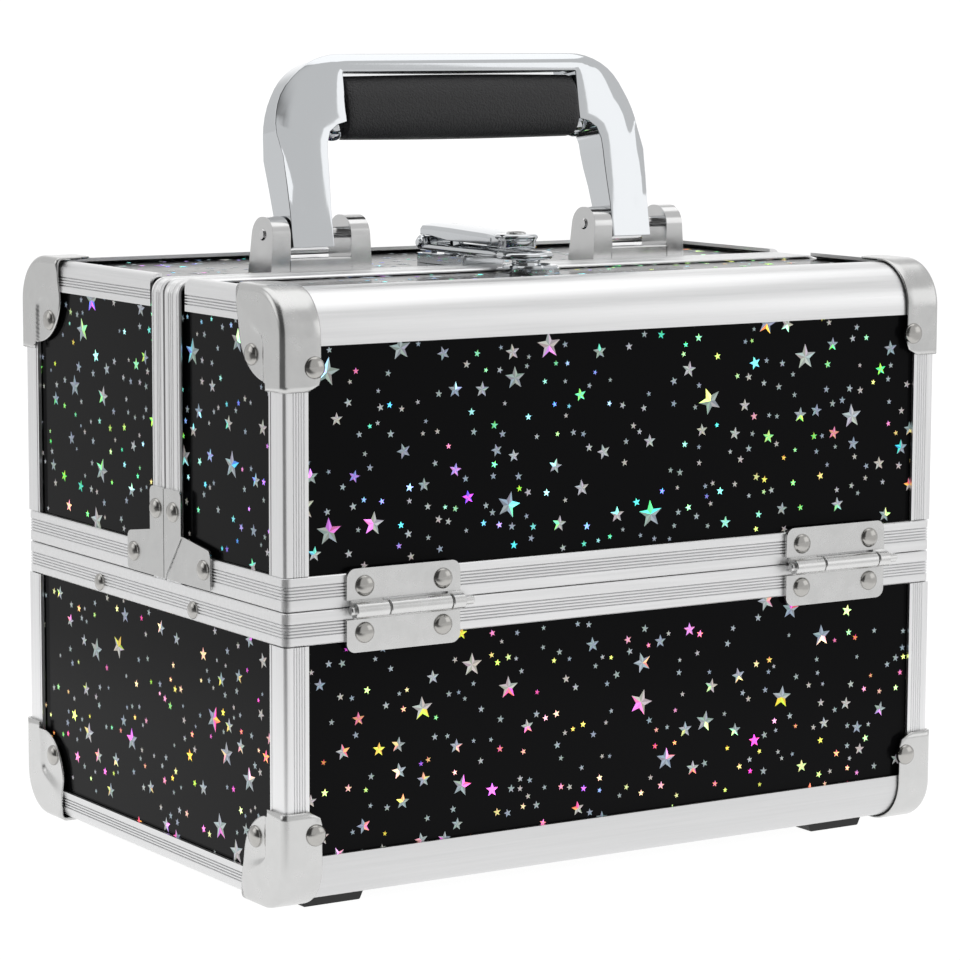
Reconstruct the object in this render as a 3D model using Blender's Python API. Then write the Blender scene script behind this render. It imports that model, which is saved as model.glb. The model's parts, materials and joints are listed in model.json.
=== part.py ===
"""Makeup train case: a body with two lids that open outwards on hinges at its long sides, two trays carried
by each lid on side arms, a fold-down handle and a lever latch on top.

Units are metres and +Z is up. The origin is on the floor under the middle of the case, +X runs along its
length, and the front lid is on the -Y side. The object is modelled closed, with the handle upright.
"""

import math

import bmesh
import bpy
from mathutils import Matrix, Vector

MM = 0.001
GAP = 0.3 * MM  # between pieces that touch on the real case

# The case: half its length and width over the aluminium rails, and its levels above the floor
HALF_X = 130 * MM
HALF_Y = 93 * MM
BASE_Z = 4.2 * MM  # underside of the bottom rails
SPLIT_Z = 100 * MM  # where the lids part from the body
TOP_Z = 201 * MM
SPLIT_Y = -14.4 * MM  # where the two lids part from each other

# Panels and aluminium sections
PANEL = 3 * MM
RECESS = 1.6 * MM  # how far a panel's face lies behind the rails
SHEET = 1.2 * MM  # wall of a rail or post
BAND_HIGH = 10.8 * MM
BAND_DEEP = 4.9 * MM
POST_LONG = 8.8 * MM  # a post's width on the long side
POST_END = 9.7 * MM  # a post's width on the end
FOOT_RAIL_LEG = 16.5 * MM
FOOT_RAIL_R = 14 * MM
TOP_RAIL_LEG = 17.5 * MM
TOP_RAIL_R = 15 * MM
END_RAIL_LOW = 9.3 * MM
END_RAIL_HIGH = 10.7 * MM
LONG_RAIL_X = 125 * MM  # half the length of the rounded rails
CLOSING_WIDTH = 10.75 * MM
CLOSING_PROUD = 0.8 * MM
CLOSING_TOP = 200 * MM
CLOSING_R = 3 * MM
CLOSING_GROOVE = 2.3 * MM  # between the front lid's end rails and its closing frame

# Hinges
HINGE_Y = 96 * MM
HINGE_Z = 99.3 * MM
HINGE_X = 87 * MM
LEAF_X = 21.2 * MM
LEAF = 1.0 * MM
BARREL_R = 2.7 * MM
PIN_R = 1.5 * MM
RUNNING = 0.15 * MM  # clearance round a pin

# Tray linkage, as distances inward from the hinge axis and up from it
ARM_BASE = (20 * MM, -4 * MM)
LID_PIVOT_LOW = (26 * MM, 29 * MM)
TRAY_PIN_R = 2 * MM
ARM_X = 121.5 * MM
ARM_THICK = 1.2 * MM
ARM_WIDTH = 7 * MM
TRAY_X = 118.8 * MM
TRAY_WALL = 1.6 * MM
TRAY_HIGH = 24 * MM
TRAY_LEVELS = (14 * MM, 43 * MM)  # undersides of the lower and the upper tray
TRAY_OUTER = 18 * MM
TRAY_INNER = {"front": 76 * MM, "rear": 103 * MM}

# Handle and its brackets
BRACKET_X = 65.5 * MM
BRACKET_HALF = 19.8 * MM
BRACKET_Y = (-5.0 * MM, 11.0 * MM)
BRACKET_SLOT = (54.0 * MM, 77.6 * MM)  # the gap between the cheeks
BRACKET_FLOOR = 204.4 * MM
BRACKET_TOP = 218.2 * MM
HANDLE_PIN = (2.2 * MM, 212.2 * MM)
HANDLE_SHIFT = -3.3 * MM  # the handle has slid to one side of its brackets
LEG_IN = 57.5 * MM
LEG_OUT = 73.6 * MM
LEG_BEND = 219 * MM  # the legs are straight up to here, and widen above
HANDLE_Y = (-4.3 * MM, 8.7 * MM)
HANDLE_TOP = 273 * MM
HANDLE_OUT = 74.4 * MM
HANDLE_LEAN = 10  # degrees that the handle leans back when it's up
GRIP_X = 47.2 * MM
GRIP_Z = (243.6 * MM, 266 * MM)

# Latch
LATCH_PIN = (25 * MM, 206 * MM)
LATCH_PIN_R = 1.6 * MM
LOOP_HALF = 8.4 * MM
LOOP_BAR = 2.2 * MM
LOOP_END = -40.2 * MM
LOOP_Z = (203.2 * MM, 205.6 * MM)
LEVER_HALF = 7.6 * MM
LEVER_NOSE = -32.6 * MM
CATCH_Y = -31.5 * MM
PANEL_TOP = 198.8 * MM

FRONT, REAR = -1, 1
LEFT, RIGHT = -1, 1
SIDE_NAMES = {LEFT: "left", RIGHT: "right"}
LID_NAMES = {FRONT: "front", REAR: "rear"}

parts = cutters = None


def clear_scene():
    for old in list(bpy.data.objects):
        bpy.data.objects.remove(old, do_unlink=True)


def make_collections():
    global parts, cutters
    parts = bpy.data.collections.new("makeup_train_case")
    cutters = bpy.data.collections.new("cutters")
    for collection in (parts, cutters):
        bpy.context.scene.collection.children.link(collection)
    cutters.hide_render = True


def material(name, colour, roughness, metallic):
    made = bpy.data.materials.new(name)
    made.use_nodes = True
    shader = made.node_tree.nodes["Principled BSDF"]
    shader.inputs["Base Color"].default_value = (*colour, 1)
    shader.inputs["Roughness"].default_value = roughness
    shader.inputs["Metallic"].default_value = metallic
    return made


def outline(*corners, steps=4):
    """The points of a polygon whose corners are (p, q) or (p, q, radius of the rounding)."""
    points = []
    count = len(corners)
    for i, corner in enumerate(corners):
        here = Vector(corner[:2])
        radius = corner[2] if len(corner) > 2 else 0
        if not radius:
            points.append(tuple(here))
            continue
        before = (Vector(corners[i - 1][:2]) - here).normalized()
        after = (Vector(corners[(i + 1) % count][:2]) - here).normalized()
        half = before.angle(after) / 2
        centre = here + (before + after).normalized() * radius / math.sin(half)
        first = here + before * radius / math.tan(half) - centre
        last = here + after * radius / math.tan(half) - centre
        turn = first.angle_signed(last)
        for step in range(steps + 1):
            angle = -turn * step / steps
            spun = Matrix.Rotation(angle, 2) @ first
            points.append(tuple(centre + spun))
    return points


def ring_of(centre, radius, count=20):
    """The points of a circle."""
    turns = [2 * math.pi * i / count for i in range(count)]
    return [(centre[0] + radius * math.cos(t), centre[1] + radius * math.sin(t)) for t in turns]


# Where a flat outline's own x, y and z axes point when it is extruded along X, Y or Z
PLANES = {
    "X": Matrix(((0, 0, 1), (1, 0, 0), (0, 1, 0))),
    "Y": Matrix(((1, 0, 0), (0, 0, -1), (0, 1, 0))),
    "Z": Matrix.Identity(3),
}


def prism(name, axis, start, end, *outlines, collection=None):
    """A flat outline, less the outlines inside it, extruded from start to end along an axis."""
    curve = bpy.data.curves.new(name, "CURVE")
    curve.dimensions = "2D"
    curve.fill_mode = "BOTH"
    curve.extrude = abs(end - start) / 2
    for points in outlines:
        spline = curve.splines.new("POLY")
        spline.points.add(len(points) - 1)
        for knot, (p, q) in zip(spline.points, points):
            knot.co = (p, q, 0, 1)
        spline.use_cyclic_u = True
    flat = bpy.data.objects.new(name, curve)
    bpy.context.scene.collection.objects.link(flat)
    bpy.context.view_layer.update()
    graph = bpy.context.evaluated_depsgraph_get()
    mesh = bpy.data.meshes.new_from_object(flat.evaluated_get(graph))
    bpy.data.objects.remove(flat)
    bpy.data.curves.remove(curve)
    middle = (start + end) / 2
    shift = {"X": (middle, 0, 0), "Y": (0, middle, 0), "Z": (0, 0, middle)}[axis]
    mesh.transform(Matrix.Translation(shift) @ PLANES[axis].to_4x4())
    shape = bmesh.new()
    shape.from_mesh(mesh)
    bmesh.ops.remove_doubles(shape, verts=shape.verts, dist=1e-6)
    bmesh.ops.recalc_face_normals(shape, faces=shape.faces)
    shape.to_mesh(mesh)
    shape.free()
    mesh.name = name
    made = bpy.data.objects.new(name, mesh)
    (collection or parts).objects.link(made)
    return made


def box(name, low, high, collection=None):
    """A block between two opposite corners."""
    shape = bmesh.new()
    size = [b - a for a, b in zip(low, high)]
    middle = [(a + b) / 2 for a, b in zip(low, high)]
    place = Matrix.Translation(middle) @ Matrix.Diagonal((*size, 1))
    bmesh.ops.create_cube(shape, size=1, matrix=place)
    mesh = bpy.data.meshes.new(name)
    shape.to_mesh(mesh)
    shape.free()
    made = bpy.data.objects.new(name, mesh)
    (collection or parts).objects.link(made)
    return made


def rod(name, axis, centre, radius, start, end, count=20, collection=None):
    """A round bar along an axis. The centre is in the plane across that axis."""
    return prism(name, axis, start, end, ring_of(centre, radius, count), collection=collection)


def helper(made):
    """Moves a shape that cuts or joins another to the cutters."""
    for collection in list(made.users_collection):
        collection.objects.unlink(made)
    cutters.objects.link(made)
    made.hide_render = True
    made.display_type = "WIRE"
    return made


def combine(target, operation, *others):
    for other in others:
        helper(other)
        modifier = target.modifiers.new(operation.lower(), "BOOLEAN")
        modifier.operation = operation
        modifier.solver = "EXACT"
        modifier.object = other
    return target


def finish(made, stuff, smooth=30):
    """Gives a part its material and smooth shading over its rounded faces."""
    made.data.materials.clear()
    made.data.materials.append(stuff)
    made.data.shade_smooth()
    made.data.set_sharp_from_angle(angle=math.radians(smooth))
    return made


def flipped(points):
    """An outline across X or Y, mirrored in its first coordinate."""
    return [(-p, q) for p, q in points]


def side_points(side, points):
    """An outline drawn for the -Y or -X side, mirrored to the other side where it is wanted."""
    return points if side < 0 else flipped(points)


def rail_section(side, top, leg, radius, across):
    """The thin angle section of a rail that wraps an edge of the case, drawn for the negative side."""
    edge, up = (TOP_Z, -1) if top else (BASE_Z, 1)
    out = -across
    return side_points(side, outline(
        (out, edge + up * leg),
        (out, edge, radius),
        (out + leg, edge),
        (out + leg, edge + up * SHEET),
        (out + SHEET, edge + up * SHEET, max(radius - SHEET, 0.1 * MM)),
        (out + SHEET, edge + up * leg),
    ))


def post(name, side, end, low, high):
    """A corner post: an angle section with its arris just broken."""
    corner = outline(
        (side_x(end, HALF_X - POST_LONG), side * HALF_Y),
        (side_x(end, HALF_X), side * HALF_Y, 1.0 * MM),
        (side_x(end, HALF_X), side * (HALF_Y - POST_END)),
        (side_x(end, HALF_X - SHEET), side * (HALF_Y - POST_END)),
        (side_x(end, HALF_X - SHEET), side * (HALF_Y - SHEET)),
        (side_x(end, HALF_X - POST_LONG), side * (HALF_Y - SHEET)),
        steps=2,
    )
    return prism(name, "Z", low, high, corner)


def side_x(end, distance):
    return end * distance


def make_body(look):
    """The five panels, the rim band and the rails and posts that hold them."""
    panel_top = SPLIT_Z - BAND_HIGH - 0.5 * MM
    wall = HALF_Y - RECESS
    end_wall = HALF_X - RECESS
    floor_edge = HALF_Y - 12.8 * MM
    floor_z = BASE_Z + RECESS
    for side in (FRONT, REAR):
        low_y, high_y = sorted((side * wall, side * (wall - PANEL)))
        panel = box(f"body_{LID_NAMES[side]}_panel", (-LONG_RAIL_X, low_y, BASE_Z + 12.8 * MM),
                    (LONG_RAIL_X, high_y, panel_top))
        finish(panel, look["board"])
    floor = box("body_floor_panel", (-LONG_RAIL_X, -floor_edge, floor_z), (LONG_RAIL_X, floor_edge, floor_z + PANEL))
    finish(floor, look["board"])
    corner = FOOT_RAIL_R - RECESS
    for end in (LEFT, RIGHT):
        start, stop = sorted((end * end_wall, end * (end_wall - PANEL)))
        points = outline((-wall, panel_top), (-wall, floor_z, corner), (wall, floor_z, corner), (wall, panel_top))
        finish(prism(f"body_{SIDE_NAMES[end]}_panel", "X", start, stop, points), look["board"])
    make_rim_band(look)
    for side in (FRONT, REAR):
        section = rail_section(side, False, FOOT_RAIL_LEG, FOOT_RAIL_R, HALF_Y)
        frame = prism(f"body_{LID_NAMES[side]}_frame", "X", -LONG_RAIL_X, LONG_RAIL_X, section)
        foot = BASE_Z + FOOT_RAIL_LEG - 0.4 * MM
        posts = [post("post", side, end, foot, panel_top) for end in (LEFT, RIGHT)]
        finish(combine(frame, "UNION", *posts), look["aluminium"])
    reach = HALF_Y - FOOT_RAIL_LEG - GAP
    for end in (LEFT, RIGHT):
        section = rail_section(end, False, END_RAIL_LOW, 2 * MM, HALF_X)
        rail = prism(f"body_{SIDE_NAMES[end]}_rail", "Y", -reach, reach, section)
        finish(rail, look["aluminium"])


def make_rim_band(look):
    """The aluminium band round the mouth of the body."""
    outer = outline(*((x * HALF_X, y * HALF_Y, 2.5 * MM) for x, y in ((-1, -1), (1, -1), (1, 1), (-1, 1))), steps=3)
    in_x, in_y = HALF_X - BAND_DEEP, HALF_Y - BAND_DEEP
    inner = outline((-in_x, -in_y), (in_x, -in_y), (in_x, in_y), (-in_x, in_y))
    band = prism("body_rim_band", "Z", SPLIT_Z - BAND_HIGH - GAP / 2, SPLIT_Z - GAP / 2, outer, inner)
    finish(band, look["aluminium"])


def closing_face(side):
    """Y of the face where a lid meets the other lid."""
    return SPLIT_Y + side * GAP / 2


def make_lid(side, look):
    """A lid: its shell of glued panels, its rim band, its posts and rails, and its closing frame."""
    name = LID_NAMES[side]
    wall = side * (HALF_Y - RECESS)
    face = closing_face(side)
    band_low = SPLIT_Z + GAP / 2
    shell_low = band_low + BAND_HIGH + GAP
    shell_end = face + side * 1.4 * MM
    round_r = TOP_RAIL_R - 2 * MM
    skin = outline((wall, shell_low), (wall, PANEL_TOP, round_r), (shell_end, PANEL_TOP), (shell_end, shell_low))
    end_wall = HALF_X - RECESS
    shell = prism(f"{name}_lid_shell", "X", -end_wall, end_wall, skin)
    past = shell_end - side * 5 * MM
    hollow = outline(
        (wall - side * PANEL, shell_low - 5 * MM),
        (wall - side * PANEL, PANEL_TOP - PANEL, round_r - PANEL),
        (past, PANEL_TOP - PANEL),
        (past, shell_low - 5 * MM),
    )
    room = end_wall - PANEL
    cuts = [prism(f"{name}_hollow", "X", -room, room, hollow)]
    for pivot in lid_pivots():
        centre = place(side, pivot)
        for end in (LEFT, RIGHT):
            start, stop = sorted((end * (room - 1 * MM), end * (room + 2 * MM)))
            cuts.append(rod("pivot_hole", "X", centre, TRAY_PIN_R + RUNNING, start, stop))
    finish(combine(shell, "DIFFERENCE", *cuts), look["board"])

    groove = CLOSING_GROOVE if side == FRONT else GAP
    band_end = face + side * (CLOSING_WIDTH + GAP)
    band = band_points(side, band_end)
    finish(prism(f"{name}_lid_rim_band", "Z", band_low, band_low + BAND_HIGH, band), look["aluminium"])

    section = rail_section(side, True, TOP_RAIL_LEG, TOP_RAIL_R, HALF_Y)
    frame = prism(f"{name}_lid_frame", "X", -LONG_RAIL_X - 4.5 * MM, LONG_RAIL_X + 4.5 * MM, section)
    top = TOP_Z - TOP_RAIL_LEG + 0.4 * MM
    extra = [post("post", side, end, shell_low, top) for end in (LEFT, RIGHT)]
    rail_in = side * (HALF_Y - TOP_RAIL_LEG + 0.4 * MM)
    rail_out = face + side * (CLOSING_WIDTH + groove)
    for end in (LEFT, RIGHT):
        angle = rail_section(end, True, END_RAIL_HIGH, 2 * MM, HALF_X)
        start, stop = sorted((rail_in, rail_out))
        extra.append(prism("end_rail", "Y", start, stop, angle))
    finish(combine(frame, "UNION", *extra), look["aluminium"])
    make_closing_frame(side, look)


def band_points(side, stop):
    """The plan of a lid's rim band: along the long side and back along both ends."""
    out_y = side * HALF_Y
    in_y = side * (HALF_Y - BAND_DEEP)
    in_x = HALF_X - BAND_DEEP
    return outline(
        (-HALF_X, stop), (-HALF_X, out_y, 2.5 * MM), (HALF_X, out_y, 2.5 * MM), (HALF_X, stop),
        (in_x, stop), (in_x, in_y), (-in_x, in_y), (-in_x, stop),
        steps=3,
    )


def arch(half_x, low, leg, bar):
    """An upside-down U standing on the split level, with rounded outer corners."""
    in_x, in_z = half_x - leg, CLOSING_TOP - bar
    return outline(
        (-half_x, low), (-half_x, CLOSING_TOP, CLOSING_R), (half_x, CLOSING_TOP, CLOSING_R), (half_x, low),
        (in_x, low), (in_x, in_z), (-in_x, in_z), (-in_x, low),
    )


def make_closing_frame(side, look):
    """The section that edges a lid up one end, across the top and down the other end."""
    face = closing_face(side)
    out_x = HALF_X + CLOSING_PROUD
    low = SPLIT_Z + GAP / 2
    # the top bar is narrower on the rear lid, where the handle's brackets stand behind it
    wide = CLOSING_WIDTH if side == FRONT else CLOSING_WIDTH - 1.8 * MM
    start, stop = sorted((face, face + side * wide))
    thick = out_x - (HALF_X - RECESS) - GAP
    bar = CLOSING_TOP - PANEL_TOP - GAP
    frame = prism(f"{LID_NAMES[side]}_lid_closing_frame", "Y", start, stop, arch(out_x, low, thick, bar))
    start, stop = sorted((face, face + side * 1 * MM))
    flange = prism("flange", "Y", start, stop, arch(out_x, low, 5.8 * MM, 4.8 * MM))
    joins = [flange]
    if side == REAR:
        start, stop = sorted((face + side * (wide - 1 * MM), face + side * CLOSING_WIDTH))
        for end in (LEFT, RIGHT):
            low_x, high_x = sorted((end * (out_x - thick), end * out_x))
            joins.append(box("leg", (low_x, start, low), (high_x, stop, TOP_Z - 8 * MM)))
    finish(combine(frame, "UNION", *joins), look["aluminium"])


def make_corner_caps(look):
    """The pressed steel cap over each of the eight corners: an end plate and a strap round the long side."""
    plate_wide, plate_high = 27 * MM, 32 * MM
    clear = 0.3 * MM
    steel = 1.0 * MM
    for top in (False, True):
        edge, up = (TOP_Z, -1) if top else (BASE_Z, 1)
        radius = TOP_RAIL_R if top else FOOT_RAIL_R
        for side in (FRONT, REAR):
            out = -HALF_Y - clear - steel
            outer = side_points(side, outline(
                (out, edge + up * plate_high),
                (out, edge - up * (clear + steel), radius + clear + steel),
                (-HALF_Y + plate_wide, edge - up * (clear + steel)),
                (-HALF_Y + plate_wide, edge + up * plate_high, 9 * MM),
                steps=5,
            ))
            inner = side_points(side, outline(
                (-HALF_Y - clear, edge + up * 60 * MM),
                (-HALF_Y - clear, edge - up * clear, radius + clear),
                (-HALF_Y + 60 * MM, edge - up * clear),
                (-HALF_Y + 60 * MM, edge + up * 60 * MM),
                steps=5,
            ))
            for end in (LEFT, RIGHT):
                place_name = "top" if top else "bottom"
                name = f"corner_cap_{place_name}_{LID_NAMES[side]}_{SIDE_NAMES[end]}"
                start, stop = sorted((end * 117 * MM, end * (HALF_X + clear + steel)))
                cap = prism(name, "X", start, stop, outer)
                start, stop = sorted((end * 110 * MM, end * (HALF_X + clear)))
                cut = prism(f"{name}_cut", "X", start, stop, inner)
                finish(combine(cap, "DIFFERENCE", cut), look["chrome"])


def make_corner_brackets(look):
    """The stamped angle plate at the foot of each closing frame, one for each lid and end."""
    foot = SPLIT_Z + 0.6 * MM
    for side in (FRONT, REAR):
        face = closing_face(side)
        frame_edge = face + side * (CLOSING_WIDTH + GAP)
        leg = outline(
            (face, foot), (frame_edge, foot + 16 * MM),
            (frame_edge, SPLIT_Z + 31 * MM, 2 * MM), (face, SPLIT_Z + 31 * MM),
        )
        tip = face + side * 29.4 * MM
        wing = outline(
            (face + side * (CLOSING_WIDTH + 2 * GAP), foot + 0.2 * MM), (tip, foot, 1.5 * MM),
            (tip, SPLIT_Z + 14 * MM, 2 * MM), (face + side * (CLOSING_WIDTH + 2 * GAP), SPLIT_Z + 16 * MM),
        )
        bridge = [face + side * CLOSING_WIDTH * 0.9, face + side * (CLOSING_WIDTH + 2 * MM)]
        for end in (LEFT, RIGHT):
            proud = HALF_X + CLOSING_PROUD + GAP
            start, stop = sorted((end * proud, end * (proud + 0.9 * MM)))
            plate = prism(f"{LID_NAMES[side]}_lid_bracket_{SIDE_NAMES[end]}", "X", start, stop, leg)
            start, stop = sorted((end * (HALF_X + GAP), end * (proud + 0.5 * MM)))
            low = prism("wing", "X", start, stop, wing)
            start, stop = sorted((end * (proud + 0.1 * MM), end * (proud + 0.8 * MM)))
            strip = box("bridge", (start, min(bridge), foot + 13 * MM), (stop, max(bridge), SPLIT_Z + 15.5 * MM))
            finish(combine(plate, "UNION", low, strip), look["chrome"])


def make_feet(look):
    """Four bevelled plastic pads under the body's floor."""
    for side in (FRONT, REAR):
        for end in (LEFT, RIGHT):
            low_x, high_x = sorted((end * 90 * MM, end * 116 * MM))
            low_y, high_y = sorted((side * 75.5 * MM, side * 56 * MM))
            slope = 2.5 * MM
            side_on = outline(
                (low_x + slope, 0, 0.6 * MM), (high_x - slope, 0, 0.6 * MM),
                (high_x, BASE_Z + 1.2 * MM), (low_x, BASE_Z + 1.2 * MM), steps=2,
            )
            foot = prism(f"foot_{LID_NAMES[side]}_{SIDE_NAMES[end]}", "Y", low_y, high_y, side_on)
            finish(foot, look["rubber"])


def make_hinges(look):
    """Four hinges. The lower leaf carries the middle barrel and the pin, the upper leaf the outer barrels."""
    leaf_out = HALF_Y + GAP + LEAF
    for side in (FRONT, REAR):
        for end in (LEFT, RIGHT):
            middle = end * HINGE_X
            name = f"{LID_NAMES[side]}_{SIDE_NAMES[end]}"
            centre = (side * HINGE_Y, HINGE_Z)
            low_y, high_y = sorted((side * (HALF_Y + GAP), side * leaf_out))
            knuckle = (middle - 7 * MM, middle + 16 * MM)
            lower = box(f"hinge_lower_leaf_{name}", (middle - LEAF_X, low_y, SPLIT_Z - 14.5 * MM),
                        (middle + LEAF_X, high_y, HINGE_Z - BARREL_R - GAP))
            neck = box("neck", (knuckle[0], low_y, HINGE_Z - 4 * MM), (knuckle[1], high_y, HINGE_Z))
            barrel = rod("barrel", "X", centre, BARREL_R, *knuckle, count=16)
            pin = rod("pin", "X", centre, PIN_R, middle - 20 * MM, middle + 25 * MM, count=16)
            finish(combine(lower, "UNION", neck, barrel, pin), look["chrome"])
            upper = box(f"hinge_upper_leaf_{name}", (middle - LEAF_X, low_y, HINGE_Z + BARREL_R + GAP),
                        (middle + LEAF_X, high_y, SPLIT_Z + 12.5 * MM))
            joins = []
            spans = ((middle - 19 * MM, knuckle[0] - GAP), (knuckle[1] + GAP, middle + LEAF_X))
            for start, stop in spans:
                joins.append(box("neck", (start, low_y, HINGE_Z), (stop, high_y, HINGE_Z + 4 * MM)))
                joins.append(rod("barrel", "X", centre, BARREL_R, start, stop, count=16))
            combine(upper, "UNION", *joins)
            bore = rod("bore", "X", centre, PIN_R + RUNNING, middle - 30 * MM, middle + 30 * MM, count=16)
            combine(upper, "DIFFERENCE", bore)
            finish(upper, look["chrome"])


def lid_pivots():
    """Where the lower and the upper tray hang from a lid, inward and up from the hinge axis."""
    return [tuple(level * d for d in LID_PIVOT_LOW) for level in (1, 2)]


def arm_pivots():
    """Where an arm holds each tray. An arm stays parallel to the line from the hinge axis through the lid's pivots."""
    return [(p + ARM_BASE[0], q + ARM_BASE[1]) for p, q in lid_pivots()]


def place(side, spot):
    """(y, z) of a place given inward and up from a lid's hinge axis."""
    return (side * (HINGE_Y - spot[0]), HINGE_Z + spot[1])


def make_arms(look):
    """The flat arm at each end of each lid's trays, from its stud on the body to both trays."""
    for side in (FRONT, REAR):
        foot = Vector(place(side, ARM_BASE))
        holes = [Vector(place(side, spot)) for spot in arm_pivots()]
        along = (holes[1] - foot).normalized()
        across = Vector((-along.y, along.x)) * ARM_WIDTH / 2
        low, high = foot - along * ARM_WIDTH / 2, holes[1] + along * ARM_WIDTH / 2
        corners = [low - across, high - across, high + across, low + across]
        shape = outline(*((*corner, ARM_WIDTH / 2 - 0.01 * MM) for corner in corners), steps=5)
        openings = [ring_of(hole, TRAY_PIN_R + RUNNING, 16) for hole in (foot, *holes)]
        for end in (LEFT, RIGHT):
            start, stop = sorted((end * ARM_X, end * (ARM_X + ARM_THICK)))
            arm = prism(f"{LID_NAMES[side]}_tray_arm_{SIDE_NAMES[end]}", "X", start, stop, shape, *openings)
            finish(arm, look["steel"])


def make_pivot_plates(look):
    """The plate inside each end of the body, with the studs that both lids' arms turn on."""
    for end in (LEFT, RIGHT):
        wall = HALF_X - BAND_DEEP - GAP
        start, stop = sorted((end * wall, end * (wall - ARM_THICK)))
        points = outline(
            (-82 * MM, 90 * MM, 3 * MM), (82 * MM, 90 * MM, 3 * MM),
            (82 * MM, 99 * MM, 3 * MM), (-82 * MM, 99 * MM, 3 * MM),
        )
        plate = prism(f"pivot_plate_{SIDE_NAMES[end]}", "X", start, stop, points)
        start, stop = sorted((end * wall, end * (ARM_X - 0.6 * MM)))
        studs = [rod("stud", "X", place(side, ARM_BASE), TRAY_PIN_R, start, stop, 16) for side in (FRONT, REAR)]
        finish(combine(plate, "UNION", *studs), look["steel"])


def make_trays(look):
    """Four open trays. Each has a pin into the lid and a pin through the arm at both ends."""
    for side in (FRONT, REAR):
        inner = TRAY_INNER[LID_NAMES[side]]
        for level, low, hang, held in zip(("lower", "upper"), TRAY_LEVELS, lid_pivots(), arm_pivots()):
            (a, base), (b, top) = place(side, (TRAY_OUTER, low)), place(side, (inner, low + TRAY_HIGH))
            low_y, high_y = sorted((a, b))
            tray = box(f"{LID_NAMES[side]}_tray_{level}", (-TRAY_X, low_y, base), (TRAY_X, high_y, top))
            wall = TRAY_WALL
            room = box("room", (-TRAY_X + wall, low_y + wall, base + wall),
                       (TRAY_X - wall, high_y - wall, top + wall))
            combine(tray, "DIFFERENCE", room)
            pins = []
            for end in (LEFT, RIGHT):
                root = end * (TRAY_X - wall / 2)
                start, stop = sorted((root, end * (HALF_X - RECESS - PANEL + 1.6 * MM)))
                pins.append(rod("hang_pin", "X", place(side, hang), TRAY_PIN_R, start, stop, 16))
                start, stop = sorted((root, end * (ARM_X + ARM_THICK + 0.8 * MM)))
                pins.append(rod("arm_pin", "X", place(side, held), TRAY_PIN_R, start, stop, 16))
            finish(combine(tray, "UNION", *pins), look["tray"])


def make_handle_brackets(look):
    """The two clevis blocks that the handle folds in."""
    low_y, high_y = BRACKET_Y
    base = PANEL_TOP + GAP
    for end in (LEFT, RIGHT):
        middle = end * BRACKET_X
        slot_low, slot_high = sorted(end * edge for edge in BRACKET_SLOT)
        front = outline(
            (middle - BRACKET_HALF, base), (middle + BRACKET_HALF, base),
            (middle + BRACKET_HALF - 1.2 * MM, BRACKET_TOP), (slot_high, BRACKET_TOP),
            (slot_high, BRACKET_FLOOR), (slot_low, BRACKET_FLOOR),
            (slot_low, BRACKET_TOP), (middle - BRACKET_HALF + 1.2 * MM, BRACKET_TOP),
        )
        block = prism(f"handle_bracket_{SIDE_NAMES[end]}", "Y", low_y, high_y, front)
        lean = 1.6 * MM
        shape = outline(
            (low_y - 1 * MM, base - 1 * MM), (high_y + 1 * MM, base - 1 * MM),
            (high_y - lean, BRACKET_TOP, 6.5 * MM), (low_y, BRACKET_TOP, 6.5 * MM), steps=5,
        )
        keep = prism("keep", "X", middle - 25 * MM, middle + 25 * MM, shape)
        combine(block, "INTERSECT", keep)
        pin = rod("pin", "X", HANDLE_PIN, 2 * MM, middle - BRACKET_HALF + 0.6 * MM,
                  middle + BRACKET_HALF - 2.4 * MM, 16)
        finish(combine(block, "UNION", pin), look["chrome"])


def lean_back(made):
    """Turns a part of the handle back round the handle's pin, as it stands when it's up."""
    pin = Matrix.Translation((0, *HANDLE_PIN))
    turn = Matrix.Rotation(-math.radians(HANDLE_LEAN), 4, "X")
    made.data.transform(pin @ turn @ pin.inverted())


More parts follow.
